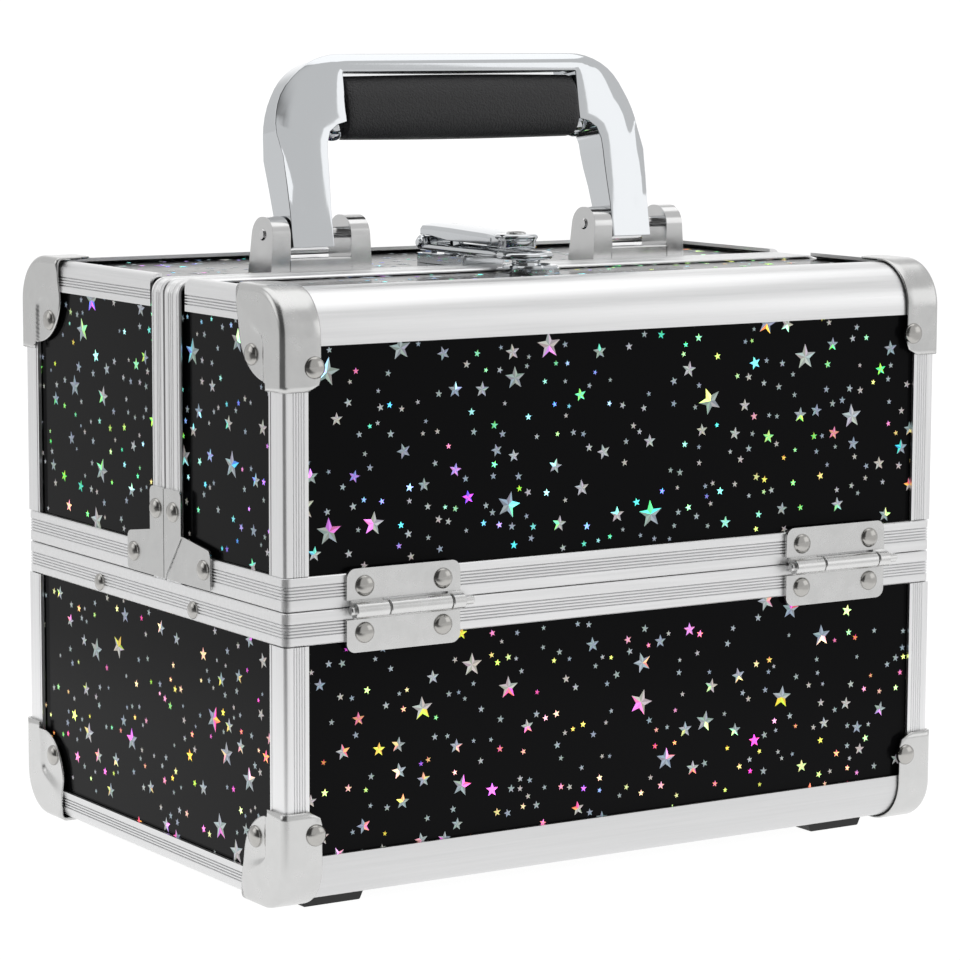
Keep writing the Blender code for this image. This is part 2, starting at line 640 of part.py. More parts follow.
def make_handle(look):
    """The chrome bow with a round-ended foot on each leg, and the grip held between its corners."""
    mid = HANDLE_SHIFT
    foot_z = HANDLE_PIN[1] - 5.7 * MM
    low_y, high_y = HANDLE_Y
    bow_outline = outline(
        (mid - LEG_OUT, foot_z), (mid - LEG_OUT, LEG_BEND), (mid - HANDLE_OUT, HANDLE_TOP - 30 * MM),
        (mid - HANDLE_OUT, HANDLE_TOP, 26 * MM), (mid + HANDLE_OUT, HANDLE_TOP, 26 * MM),
        (mid + HANDLE_OUT, HANDLE_TOP - 30 * MM), (mid + LEG_OUT, LEG_BEND), (mid + LEG_OUT, foot_z),
        (mid + LEG_IN, foot_z), (mid + LEG_IN, LEG_BEND), (mid + LEG_IN - 1 * MM, GRIP_Z[0] + 1 * MM, 5 * MM),
        (mid + GRIP_X + 2 * GAP, GRIP_Z[0] + 6 * MM), (mid + GRIP_X + 2 * GAP, GRIP_Z[1] + GAP),
        (mid - GRIP_X - 2 * GAP, GRIP_Z[1] + GAP), (mid - GRIP_X - 2 * GAP, GRIP_Z[0] + 6 * MM),
        (mid - LEG_IN + 1 * MM, GRIP_Z[0] + 1 * MM, 5 * MM), (mid - LEG_IN, LEG_BEND), (mid - LEG_IN, foot_z),
        steps=6,
    )
    bow = prism("handle_bow", "Y", low_y, high_y, bow_outline)
    foot_r = 5.7 * MM
    side_on = outline(
        (HANDLE_PIN[0] - foot_r - 0.8 * MM, foot_z, 5 * MM), (HANDLE_PIN[0] + foot_r + 0.8 * MM, foot_z, 5 * MM),
        (high_y, HANDLE_TOP, 4 * MM), (low_y, HANDLE_TOP, 4 * MM),
    )
    combine(bow, "INTERSECT", prism("side_on", "X", -90 * MM, 90 * MM, side_on))
    bore = rod("bore", "X", HANDLE_PIN, 2 * MM + RUNNING, -90 * MM, 90 * MM, 16)
    finish(combine(bow, "DIFFERENCE", bore), look["chrome"])
    lean_back(bow)
    middle_y = sum(HANDLE_Y) / 2
    half = 8.2 * MM
    section = outline(
        (middle_y - half, GRIP_Z[0], 7 * MM), (middle_y + half, GRIP_Z[0], 7 * MM),
        (middle_y + half, GRIP_Z[1], 5 * MM), (middle_y - half, GRIP_Z[1], 5 * MM),
    )
    grip = prism("handle_grip", "X", mid - GRIP_X, mid + GRIP_X, section)
    lean_back(finish(grip, look["grip"]))


def make_latch(look):
    """The latch across the lids: its base and pin, the loop, the lever over it and the catch."""
    pin_y, pin_z = LATCH_PIN
    base_z = PANEL_TOP + GAP
    base = box("latch_base", (-8.4 * MM, -4.8 * MM, base_z), (8.4 * MM, 28.5 * MM, 202.2 * MM))
    ear = outline((pin_y - 4 * MM, 201 * MM), (pin_y - 3.4 * MM, pin_z + 2.3 * MM, 2.2 * MM),
                  (pin_y + 2.3 * MM, pin_z + 2.3 * MM, 2.2 * MM), (pin_y + 2.3 * MM, 201 * MM), steps=3)
    ears = [prism("ear", "X", end * 4.6 * MM - 1.2 * MM, end * 4.6 * MM + 1.2 * MM, ear) for end in (LEFT, RIGHT)]
    pin = rod("pin", "X", LATCH_PIN, LATCH_PIN_R, -9.4 * MM, 9.4 * MM, 16)
    finish(combine(base, "UNION", *ears, pin), look["chrome"])

    low, high = LOOP_Z
    bar = LOOP_BAR
    back = pin_y + 1 * MM
    plan = outline(
        (-LOOP_HALF, back), (-LOOP_HALF, LOOP_END, 6 * MM), (LOOP_HALF, LOOP_END, 6 * MM), (LOOP_HALF, back),
        (LOOP_HALF - bar, back), (LOOP_HALF - bar, LOOP_END + bar, 4 * MM),
        (-LOOP_HALF + bar, LOOP_END + bar, 4 * MM), (-LOOP_HALF + bar, back),
    )
    loop = prism("latch_loop", "Z", low, high, plan)
    eyes = []
    for end in (LEFT, RIGHT):
        start, stop = sorted((end * (LOOP_HALF - 0.1 * MM), end * (LOOP_HALF - bar + 0.1 * MM)))
        eyes.append(rod("eye", "X", LATCH_PIN, 2.3 * MM, start, stop, 16))
    combine(loop, "UNION", *eyes)
    bore = rod("bore", "X", LATCH_PIN, LATCH_PIN_R + RUNNING, -10 * MM, 10 * MM, 16)
    finish(combine(loop, "DIFFERENCE", bore), look["chrome"])

    under = high + 0.5 * MM
    profile = outline(
        (pin_y - 5 * MM, under + 2.5 * MM), (LEVER_NOSE, under, 1 * MM), (LEVER_NOSE - 0.4 * MM, 210.6 * MM, 2 * MM),
        (pin_y - 20 * MM, 212.2 * MM, 8 * MM), (pin_y + 3 * MM, 212.6 * MM, 2 * MM),
        (pin_y + 3 * MM, under + 2.5 * MM), steps=3,
    )
    lever = prism("latch_lever", "X", -LEVER_HALF, LEVER_HALF, profile)
    hub = rod("hub", "X", LATCH_PIN, 3 * MM, -3.1 * MM, 3.1 * MM, 16)
    web = box("web", (-3.1 * MM, pin_y - 2.6 * MM, pin_z), (3.1 * MM, pin_y + 2.6 * MM, under + 3 * MM))
    combine(lever, "UNION", hub, web)
    bore = rod("bore", "X", LATCH_PIN, LATCH_PIN_R + RUNNING, -10 * MM, 10 * MM, 16)
    finish(combine(lever, "DIFFERENCE", bore), look["chrome"])

    front_y, back_y = -44 * MM, -26.3 * MM
    plate = outline((-10 * MM, front_y, 9 * MM), (10 * MM, front_y, 9 * MM), (10 * MM, back_y), (-10 * MM, back_y))
    catch = prism("latch_catch", "Z", base_z, base_z + 1.4 * MM, plate)
    boss = rod("boss", "Z", (0, CATCH_Y), 5.4 * MM, base_z + 1 * MM, LOOP_Z[0] + 1.3 * MM, 24)
    finish(combine(catch, "UNION", boss), look["chrome"])


def empty_at(name, x, y, z):
    """A small empty that marks a joint's axis."""
    made = bpy.data.objects.new(name, None)
    made.empty_display_type = "SINGLE_ARROW"
    made.empty_display_size = 20 * MM
    made.location = (x, y, z)
    parts.objects.link(made)
    return made


def hang(empty, *names):
    """Parents nodes to the empty on their joint's axis, without moving them."""
    for name in names:
        child = bpy.data.objects[name]
        child.parent = empty
        child.matrix_parent_inverse = Matrix.Translation(-empty.location)


def set_joints():
    """Each moving piece hangs from an empty on its joint axis."""
    for side in (FRONT, REAR):
        name = LID_NAMES[side]
        lid = empty_at(f"{name}_lid_hinge", 0, side * HINGE_Y, HINGE_Z)
        hang(lid, *(f"{name}_lid_{piece}" for piece in (
            "shell", "rim_band", "frame", "closing_frame", "bracket_left", "bracket_right")))
        hang(lid, *(f"corner_cap_top_{name}_{end}" for end in ("left", "right")))
        hang(lid, *(f"hinge_upper_leaf_{name}_{end}" for end in ("left", "right")))
        hang(empty_at(f"{name}_arm_pivot", 0, *place(side, ARM_BASE)), f"{name}_tray_arm_left", f"{name}_tray_arm_right")
        for level, pivot in zip(("lower", "upper"), lid_pivots()):
            hang(empty_at(f"{name}_tray_{level}_pivot", 0, *place(side, pivot)), f"{name}_tray_{level}")
    hang(bpy.data.objects["front_lid_hinge"], "latch_catch")
    hang(bpy.data.objects["rear_lid_hinge"], "latch_base", "handle_bracket_left", "handle_bracket_right")
    hang(empty_at("handle_pivot", 0, *HANDLE_PIN), "handle_bow", "handle_grip")
    latch = empty_at("latch_pivot", 0, *LATCH_PIN)
    hang(latch, "latch_loop", "latch_lever")


def main():
    clear_scene()
    make_collections()
    look = {
        "board": material("foil_board", (0.012, 0.012, 0.014), 0.12, 0.0),
        "aluminium": material("satin_aluminium", (0.78, 0.79, 0.80), 0.32, 1.0),
        "chrome": material("chrome", (0.80, 0.80, 0.80), 0.10, 1.0),
        "steel": material("zinc_steel", (0.62, 0.63, 0.65), 0.30, 1.0),
        "rubber": material("black_rubber", (0.02, 0.02, 0.02), 0.60, 0.0),
        "grip": material("grip_plastic", (0.03, 0.03, 0.03), 0.55, 0.0),
        "tray": material("tray_plastic", (0.03, 0.03, 0.032), 0.45, 0.0),
    }
    make_body(look)
    for side in (FRONT, REAR):
        make_lid(side, look)
    make_corner_caps(look)
    make_corner_brackets(look)
    make_feet(look)
    make_hinges(look)
    make_pivot_plates(look)
    make_arms(look)
    make_trays(look)
    make_handle_brackets(look)
    make_handle(look)
    make_latch(look)
    set_joints()


main()
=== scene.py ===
"""The looks of the makeup train case: aluminium sections, pressed corners, hinges, handle, latch, starred
panels, linings and trays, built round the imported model. Lengths are in millimetres until add_piece turns
them into metres."""

import json
import math
import random

import bmesh
import bpy
from mathutils import Matrix, Vector


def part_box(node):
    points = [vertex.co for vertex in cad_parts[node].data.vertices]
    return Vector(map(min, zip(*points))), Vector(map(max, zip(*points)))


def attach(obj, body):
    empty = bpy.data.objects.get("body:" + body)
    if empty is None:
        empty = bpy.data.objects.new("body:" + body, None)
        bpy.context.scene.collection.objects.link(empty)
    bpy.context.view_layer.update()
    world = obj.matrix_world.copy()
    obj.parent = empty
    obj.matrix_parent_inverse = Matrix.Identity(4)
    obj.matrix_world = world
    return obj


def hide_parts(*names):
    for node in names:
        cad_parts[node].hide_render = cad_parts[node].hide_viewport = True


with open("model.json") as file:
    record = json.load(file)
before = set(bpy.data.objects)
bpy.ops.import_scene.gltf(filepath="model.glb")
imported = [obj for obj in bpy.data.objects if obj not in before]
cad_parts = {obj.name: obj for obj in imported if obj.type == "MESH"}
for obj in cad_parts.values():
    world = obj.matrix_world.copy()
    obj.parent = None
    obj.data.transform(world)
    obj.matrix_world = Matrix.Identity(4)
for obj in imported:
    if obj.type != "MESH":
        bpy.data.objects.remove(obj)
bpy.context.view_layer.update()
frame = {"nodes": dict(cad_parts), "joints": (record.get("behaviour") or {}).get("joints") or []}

MM = 0.001
FRONT, REAR = -1, 1
LEFT, RIGHT = -1, 1
LID = {FRONT: "front", REAR: "rear"}
END = {LEFT: "left", RIGHT: "right"}


def corners_of(node):
    """A CAD node's lowest and highest corners in millimetres."""
    low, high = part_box(node)
    return low / MM, high / MM


SPLIT_GAP = 0.15  # half the gap where the body and the lids meet

# The case, from its CAD nodes
HALF_X, HALF_Y = corners_of("body_rim_band")[1].xy
SPLIT_Z = corners_of("body_rim_band")[1].z + SPLIT_GAP
BAND_LOW = corners_of("body_rim_band")[0].z
LID_BAND_LOW, LID_BAND_TOP = (corners_of("front_lid_rim_band")[i].z for i in (0, 1))
BASE_Z = corners_of("body_front_frame")[0].z
TOP_Z = corners_of("front_lid_frame")[1].z
SPLIT_Y = (corners_of("front_lid_closing_frame")[1].y + corners_of("rear_lid_closing_frame")[0].y) / 2
CLOSING_X = corners_of("front_lid_closing_frame")[1].x
CLOSING_TOP = corners_of("front_lid_closing_frame")[1].z
PANEL_Y = corners_of("body_rear_panel")[1].y
PANEL_X = corners_of("body_right_panel")[1].x
PANEL_TOP = corners_of("rear_lid_shell")[1].z
HINGE_X = 87
HINGE_Y, HINGE_Z = 96, 99.3

# Sections
SHEET = 1.2
BAND_DEEP = 4.9
POST_LONG, POST_END = 8.8, 9.7
FOOT_RAIL_LEG, FOOT_RAIL_R = 16.5, 14
TOP_RAIL_LEG, TOP_RAIL_R = 17.5, 15
END_RAIL_LOW, END_RAIL_HIGH = 9.3, 10.7
RAIL_X = HALF_X - 5
CLOSING_WIDTH = 10.75
GROOVE = 0.5  # width of a rib line
GROOVE_DEEP = 0.65
RIB_PITCH = 0.95
CAP_RIVET, BRACKET_RIVET, BAND_RIVET, LEAF_RIVET = 3.6, 3.4, 3.0, 3.45  # radii of the domed heads

# The studio
VIEW_YAW = math.radians(32.455)
STUDIO_GREY, STUDIO_BLACK = 0.68, 0.07


# ---- mesh helpers


def rounded(*corners, steps=4):
    """The points of a polygon whose corners are (p, q) or (p, q, radius of the rounding)."""
    points = []
    for i, corner in enumerate(corners):
        here = Vector(corner[:2])
        radius = corner[2] if len(corner) > 2 else 0
        if not radius:
            points.append(tuple(here))
            continue
        before = (Vector(corners[i - 1][:2]) - here).normalized()
        after = (Vector(corners[(i + 1) % len(corners)][:2]) - here).normalized()
        half = before.angle(after) / 2
        centre = here + (before + after).normalized() * radius / math.sin(half)
        first = here + before * radius / math.tan(half) - centre
        last = here + after * radius / math.tan(half) - centre
        turn = first.angle_signed(last)
        for step in range(steps + 1):
            points.append(tuple(centre + Matrix.Rotation(-turn * step / steps, 2) @ first))
    return points


def circle(centre, radius, count=24):
    turns = [2 * math.pi * i / count for i in range(count)]
    return [(centre[0] + radius * math.cos(t), centre[1] + radius * math.sin(t)) for t in turns]


def ribbed(start, stop, first, count, pitch):
    """The points from start to stop, with V grooves cut to the left of the way along from first on."""
    start, stop = Vector(start), Vector(stop)
    along = (stop - start).normalized()
    inward = Vector((-along.y, along.x))
    points = [tuple(start)]
    for i in range(count):
        middle = start + along * (first + i * pitch)
        points.append(tuple(middle - along * GROOVE / 2))
        points.append(tuple(middle + inward * GROOVE_DEEP))
        points.append(tuple(middle + along * GROOVE / 2))
    return [*points, tuple(stop)]


def place(axis, p, q, along):
    """A point from its place in the plane across an axis and its place along that axis."""
    return {"X": (along, p, q), "Y": (p, along, q), "Z": (p, q, along)}[axis]


def prism(shape, axis, start, stop, points):
    """Adds a flat outline extruded along an axis to a mesh being built."""
    rings = [[shape.verts.new(place(axis, p, q, at)) for p, q in points] for at in (start, stop)]
    count = len(points)
    for i in range(count):
        j = (i + 1) % count
        shape.faces.new((rings[0][i], rings[0][j], rings[1][j], rings[1][i]))
    ends = [shape.faces.new(rings[0]), shape.faces.new(list(reversed(rings[1])))]
    bmesh.ops.triangulate(shape, faces=ends)


def grid(shape, rows, closed=False, flip=False):
    """Adds a surface through rows of points. Closed rows join their last point to their first."""
    made = [[shape.verts.new(p) for p in row] for row in rows]
    count = len(made[0])
    for low, high in zip(made, made[1:]):
        for i in range(count if closed else count - 1):
            j = (i + 1) % count
            face = (low[i], low[j], high[j], high[i])
            shape.faces.new(tuple(reversed(face)) if flip else face)
    return made


def tube(shape, rings):
    """Adds a surface through closed rings of points, with a face over each end."""
    made = grid(shape, rings, closed=True)
    shape.faces.new(made[0])
    shape.faces.new(made[-1])


def chamfered(radius, start, stop, edge=0.4):
    """The profile of a pin, barrel or hub with chamfered ends."""
    return ((radius - edge, start), (radius, start + edge), (radius, stop - edge), (radius - edge, stop))


def turned(shape, axis, centre, profile, count=28):
    """Adds a turned shape: profile is (radius, place along the axis), from one end to the other."""
    rows = []
    for radius, along in profile:
        points = circle(centre, max(radius, 0.001), count)
        rows.append([place(axis, p, q, along) for p, q in points])
    tube(shape, rows)


def add_piece(name, shape, body, stuff, replaces=(), sharp=35, bevel=0, thick=0, fix=True):
    """Turns a mesh being built into a piece that rides on a body."""
    bmesh.ops.remove_doubles(shape, verts=shape.verts, dist=0.002)
    if fix:
        bmesh.ops.recalc_face_normals(shape, faces=shape.faces)
    bmesh.ops.scale(shape, vec=(MM, MM, MM), verts=shape.verts)
    mesh = bpy.data.meshes.new(name)
    shape.to_mesh(mesh)
    shape.free()
    mesh.materials.append(stuff)
    mesh.shade_smooth()
    mesh.set_sharp_from_angle(angle=math.radians(sharp))
    piece = bpy.data.objects.new(name, mesh)
    bpy.context.scene.collection.objects.link(piece)
    if thick:
        wall = piece.modifiers.new("wall", "SOLIDIFY")
        wall.thickness = thick * MM
        wall.offset = -1
    if bevel:
        edge = piece.modifiers.new("edge", "BEVEL")
        edge.width = bevel * MM
        edge.segments = 3
        edge.limit_method = "ANGLE"
        edge.angle_limit = math.radians(sharp)
        edge.miter_outer = "MITER_ARC"
        even = piece.modifiers.new("even", "WEIGHTED_NORMAL")
        even.keep_sharp = False
    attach(piece, body)
    if replaces:
        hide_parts(*replaces)
    return piece


# ---- materials


def tools_of(tree):
    """Helpers that add a node with its values, and join two nodes."""

    def add(kind, **values):
        node = tree.nodes.new(kind)
        for key, value in values.items():
            if key in node.inputs:
                node.inputs[key].default_value = value
            else:
                setattr(node, key, value)
        return node

    def link(source, socket, target, entry):
        tree.links.new(source.outputs[socket], target.inputs[entry])

    return add, link


def nodes_of(name):
    """A new node material, with its shader and helpers to add and join nodes."""
    made = bpy.data.materials.new(name)
    made.use_nodes = True
    return made, made.node_tree.nodes["Principled BSDF"], *tools_of(made.node_tree)


def set_shader(shader, **values):
    for key, value in values.items():
        shader.inputs[key.replace("_", " ")].default_value = value


def grain(add, link, scale, detail=3, stretch=(1, 1, 1)):
    """Noise in the object's own metres, stretched along its axes."""
    coordinates = add("ShaderNodeTexCoord")
    mapping = add("ShaderNodeMapping", Scale=stretch)
    noise = add("ShaderNodeTexNoise", Scale=scale, Detail=detail, Roughness=0.6)
    link(coordinates, "Object", mapping, "Vector")
    link(mapping, "Vector", noise, "Vector")
    return noise


def vary(add, link, noise, shader, entry, low, high):
    """Drives a shader's value from noise, between two numbers."""
    spread = add("ShaderNodeMapRange")
    spread.inputs["From Min"].default_value = 0.3
    spread.inputs["From Max"].default_value = 0.7
    spread.inputs["To Min"].default_value = low
    spread.inputs["To Max"].default_value = high
    link(noise, "Fac", spread, "Value")
    link(spread, "Result", shader, entry)


def tint(add, link, noise, shader, dark, light):
    """Varies a shader's colour between two colours with noise."""
    ramp = add("ShaderNodeValToRGB")
    ramp.color_ramp.elements[0].position = 0.3
    ramp.color_ramp.elements[0].color = (*dark, 1)
    ramp.color_ramp.elements[1].position = 0.7
    ramp.color_ramp.elements[1].color = (*light, 1)
    link(noise, "Fac", ramp, "Fac")
    link(ramp, "Color", shader, "Base Color")


def roughen(add, link, noise, shader, strength, depth):
    bump = add("ShaderNodeBump", Strength=strength, Distance=depth)
    link(noise, "Fac", bump, "Height")
    link(bump, "Normal", shader, "Normal")


def aluminium(name, stretch, light=0.92):
    """Satin extruded aluminium, with faint drawing lines along the section."""
    made, shader, add, link = nodes_of(name)
    set_shader(shader, Metallic=1.0)
    fine = grain(add, link, 900, stretch=stretch)
    dark = (light * 0.92, light * 0.922, light * 0.926)
    tint(add, link, fine, shader, dark, (light, light, light * 1.005))
    vary(add, link, fine, shader, "Roughness", 0.30, 0.42)
    roughen(add, link, fine, shader, 0.10, 0.00006)
    return made


def plated_steel(name, colour, rough):
    """Pressed steel with a soft plated finish: slight waviness and cloudy patches."""
    made, shader, add, link = nodes_of(name)
    set_shader(shader, Metallic=1.0)
    cloud = grain(add, link, 160)
    tint(add, link, cloud, shader, tuple(c * 0.93 for c in colour), colour)
    vary(add, link, cloud, shader, "Roughness", rough * 0.85, rough * 1.2)
    wave = grain(add, link, 60, 1)
    roughen(add, link, wave, shader, 0.06, 0.0004)
    return made


def chrome(name, colour=(0.70, 0.72, 0.74), rough=0.07):
    made, shader, add, link = nodes_of(name)
    set_shader(shader, Metallic=1.0, Base_Color=(*colour, 1))
    haze = grain(add, link, 120)
    vary(add, link, haze, shader, "Roughness", rough * 0.8, rough * 1.4)
    wave = grain(add, link, 35, 1)
    roughen(add, link, wave, shader, 0.05, 0.0004)
    return made


def foil_board(name):
    """Glossy black plastic film over board, with a very slight ripple."""
    made, shader, add, link = nodes_of(name)
    set_shader(shader, Base_Color=(0.004, 0.004, 0.0045, 1), IOR=1.14)
    haze = grain(add, link, 45)
    vary(add, link, haze, shader, "Roughness", 0.10, 0.17)
    ripple = grain(add, link, 22, 2)
    roughen(add, link, ripple, shader, 0.04, 0.0006)
    return made


def glowing_star_foil(name):
    """Holographic foil: each facet's colour is stored on the mesh, and the foil glows in that colour as
    painted light.
    """
    made, shader, add, link = nodes_of(name)
    colour = add("ShaderNodeAttribute", attribute_name="facet")
    link(colour, "Color", shader, "Base Color")
    # Painted glow: the facet colours are also emitted, so the stars shine though they are no lamp.
    link(colour, "Color", shader, "Emission Color")
    set_shader(shader, Emission_Strength=0.34, Metallic=0.15)
    fine = grain(add, link, 1500)
    vary(add, link, fine, shader, "Roughness", 0.28, 0.42)
    return made


def plastic(name, colour, rough, scale, strength, depth, sheen=0.0):
    """A dark plastic, rubber or cloth: fine-grained, slightly uneven."""
    made, shader, add, link = nodes_of(name)
    fine = grain(add, link, scale, 2)
    tint(add, link, fine, shader, tuple(c * 0.7 for c in colour), tuple(min(1, c * 1.4) for c in colour))
    vary(add, link, fine, shader, "Roughness", rough * 0.9, min(1, rough * 1.15))
    roughen(add, link, fine, shader, strength, depth)
    if sheen:
        set_shader(shader, Sheen_Weight=sheen)
    return made


ALONG = {
    "X": aluminium("aluminium_along_x", (0.02, 1, 1)),
    "Y": aluminium("aluminium_along_y", (1, 0.02, 1)),
    "Z": aluminium("aluminium_along_z", (1, 1, 0.02)),
}
# The foot rails use darker copies of the same aluminium: painted shade on the lower rails.
SHADED_END_FOOT_RAIL = aluminium("aluminium_end_foot_rail_painted_shade", (1, 0.02, 1), 0.80)
SHADED_FOOT_RAIL = aluminium("aluminium_foot_rail_painted_shade", (0.02, 1, 1), 0.70)
STEEL = plated_steel("plated_steel", (0.66, 0.66, 0.655), 0.24)
LEAF_STEEL = plated_steel("hinge_steel", (0.74, 0.74, 0.735), 0.26)
RIVET_STEEL = plated_steel("rivet_steel", (0.50, 0.49, 0.47), 0.19)
ZINC = plated_steel("zinc_strip", (0.58, 0.59, 0.60), 0.34)
CHROME = chrome("bright_chrome")
BRACKET_CHROME = chrome("bracket_chrome", (0.70, 0.70, 0.70), 0.16)
BOARD = foil_board("starred_board")
GLOWING_FOIL = glowing_star_foil("glowing_star_foil")
GRIP = plastic("grip_plastic", (0.026, 0.026, 0.028), 0.46, 1400, 0.9, 0.0006)
# Black rubber for the feet, also used as the keyway's painted shade.
RUBBER_AND_KEYWAY_SHADE = plastic("foot_rubber_and_keyway_shade", (0.012, 0.012, 0.012), 0.55, 900, 0.2, 0.0001)
TRAY = plastic("tray_plastic", (0.016, 0.016, 0.018), 0.40, 700, 0.15, 0.0001)
LINING = plastic("black_lining", (0.012, 0.012, 0.013), 0.85, 3000, 0.5, 0.0002, sheen=0.3)


# ---- aluminium sections


def flat_ring(depth, radius, stop, side):
    """A plan line round the case at a depth behind its faces: all the way, or for one lid as far as stop."""
    bend = max(radius - depth, 0.01)
    x, y = HALF_X - depth, HALF_Y - depth
    if stop is None:
        return rounded((-x, -y, bend), (x, -y, bend), (x, y, bend), (-x, y, bend), steps=5)
    return rounded((-x, stop), (-x, side * y, bend), (x, side * y, bend), (x, stop), steps=5)


def band_section(low, high, away):
    """(depth, z) round a rim band's section. Its ribs lie nearer the edge away from the split."""
    first = 3.0 if away > 0 else high - low - 3.0 - 4 * 1.0
    face = ribbed((0, high), (0, low), first, 5, 1.0)
    face = [(abs(d) if d else 0, z) for d, z in face]
    return [(0.35, high), *[(max(d, 0), z) for d, z in face[1:-1]], (0.0, low + 0.35), (0.35, low),
            (BAND_DEEP, low), (BAND_DEEP, high)]


def make_rim_band(name, body, low, high, away, stop=None, side=1):
    shape = bmesh.new()
    section = band_section(low, high, away)
    section.insert(1, (0.0, high - 0.35))
    rows = []
    for depth, z in [*section, section[0]]:
        rows.append([(x, y, z) for x, y in flat_ring(depth, 2.6, stop, side)])
    made = grid(shape, rows, closed=stop is None)
    if stop is not None:
        for at in (0, -1):
            shape.faces.new([row[at] for row in made[:-1]])
    add_piece(f"{name}_band", shape, body, ALONG["X"], [f"{name}_rim_band"])


def edge_outline(out, edge, up, leg, radius, ribs=0, inward=None):
    """The angle section of a rail over an edge of the case. inward is its leg across the top or bottom."""
    steps = 14 if radius > 5 else 5
    corner = (0, edge, radius)
    face = [(0, edge + up * leg)]
    if ribs:
        first = 2.4
        for i in range(ribs):
            middle = edge + up * (leg - first - i * RIB_PITCH)
            face += [(0, middle + up * GROOVE / 2), (GROOVE_DEEP, middle), (0, middle - up * GROOVE / 2)]
    inner = max(radius - SHEET, 0.1)
    inward = inward or leg
    points = rounded(
        *face, corner, (inward, edge), (inward, edge + up * SHEET), (SHEET, edge + up * SHEET, inner),
        (SHEET, edge + up * leg), steps=steps,
    )
    return [(out[0] + out[1] * p, z) for p, z in points]


def post_outline(side, end):
    """A corner post's plan: its long face has fine ribs, and its end face is plain with one line."""
    x, y = end * HALF_X, side * HALF_Y
    face = [(x - end * POST_LONG, y)]
    for i in range(5):
        middle = x - end * (POST_LONG - 1.6 - i * RIB_PITCH)
        face.append((middle - end * GROOVE / 2, y))
        face.append((middle, y - side * GROOVE_DEEP * 0.8))
        face.append((middle + end * GROOVE / 2, y))
    line = y - side * (POST_END - 1.2)
    return rounded(
        *face, (x, y, 1.3), (x, line + side * 0.3), (x - end * 0.25, line), (x, line - side * 0.3),
        (x, y - side * POST_END), (x - end * SHEET, y - side * POST_END),
        (x - end * SHEET, y - side * SHEET), (x - end * POST_LONG, y - side * SHEET), steps=5,
    )


def make_posts(name, body, side, low, high):
    for end in (LEFT, RIGHT):
        shape = bmesh.new()
        prism(shape, "Z", low, high, post_outline(side, end))
        add_piece(f"{name}_post_{END[end]}", shape, body, ALONG["Z"])


def make_body_sections():
    make_rim_band("body", "case_body", BAND_LOW, SPLIT_Z - SPLIT_GAP, -1)
    for side in (FRONT, REAR):
        name = f"body_{LID[side]}"
        shape = bmesh.new()
        outline = edge_outline((side * HALF_Y, -side), BASE_Z, 1, FOOT_RAIL_LEG, FOOT_RAIL_R)
        prism(shape, "X", -RAIL_X, RAIL_X, outline)
        add_piece(f"{name}_bottom_rail", shape, "case_body", SHADED_FOOT_RAIL, [f"{name}_frame"])
        make_posts(name, "case_body", side, BASE_Z + 13.5, BAND_LOW - 0.2)
    reach = HALF_Y - FOOT_RAIL_LEG - 0.3
    for end in (LEFT, RIGHT):
        shape = bmesh.new()
        outline = edge_outline((end * HALF_X, -end), BASE_Z, 1, END_RAIL_LOW, 3, ribs=4)
        prism(shape, "Y", -reach, reach, outline)
        name = f"body_{END[end]}"
        add_piece(f"{name}_bottom_rail", shape, "case_body", SHADED_END_FOOT_RAIL,
                  [f"{name}_rail"])


def make_lid_sections(side):
    name = f"{LID[side]}_lid"
    face = SPLIT_Y + side * SPLIT_GAP
    band_stop = face + side * (CLOSING_WIDTH + 0.3)
    make_rim_band(name, name, LID_BAND_LOW, LID_BAND_TOP, 1, band_stop, side)
    shape = bmesh.new()
    outline = edge_outline((side * HALF_Y, -side), TOP_Z, -1, TOP_RAIL_LEG, TOP_RAIL_R)
    prism(shape, "X", -RAIL_X, RAIL_X, outline)
    add_piece(f"{name}_top_rail", shape, name, ALONG["X"], [f"{name}_frame"])
    make_posts(name, name, side, LID_BAND_TOP + 0.2, TOP_Z - 14.5)
    low, high = corners_of(f"{name}_frame")
    near = low.y if side > 0 else high.y
    for end in (LEFT, RIGHT):
        shape = bmesh.new()
        outline = edge_outline((end * HALF_X, -end), TOP_Z, -1, END_RAIL_HIGH, 3.2, ribs=4, inward=4.4)
        prism(shape, "Y", *sorted((side * (HALF_Y - TOP_RAIL_LEG + 0.5), near)), outline)
        add_piece(f"{name}_end_rail_{END[end]}", shape, name, ALONG["Y"])
    make_closing_frame(side, name, face)


def arch_line(depth, low, radius):
    """The line of a closing frame at a depth behind its outer face: up one end, across and down the other."""
    bend = max(radius - depth, 0.01)
    x, z = CLOSING_X - depth, CLOSING_TOP - depth
    return rounded((-x, low), (-x, z, bend), (x, z, bend), (x, low), steps=8)


def make_closing_frame(side, name, face):
    """Its outer plate has fine ribs and rounded edges, and its flange turns in at the closing face."""
    wide = CLOSING_WIDTH if side == FRONT else CLOSING_WIDTH - 1.8
    edge = 0.5
    plate, flange = 0.9, 4.6
    lines = [wide * share for share in (0.30, 0.42, 0.54, 0.84)]
    section = [(face, edge), (face + side * edge, 0)]
    for line in lines:
        for step, deep in ((-GROOVE / 2, 0), (0, 0.14), (GROOVE / 2, 0)):
            section.append((face + side * (line + step), deep))
    far = face + side * wide
    section += [(far - side * edge, 0), (far, edge), (far, plate), (face + side * 1.0, plate),
                (face + side * 1.0, flange), (face, flange)]
    shape = bmesh.new()
    rows = []
    for y, depth in [*section, section[0]]:
        rows.append([(x, y, z) for x, z in arch_line(depth, LID_BAND_LOW, 5)])
    made = grid(shape, rows)
    for at in (0, -1):
        shape.faces.new([row[at] for row in made[:-1]])
    add_piece(f"{name}_closing_section", shape, name, ALONG["Z"],
              [f"{name}_closing_frame"])


# ---- corner caps, brackets, rivets, hinges


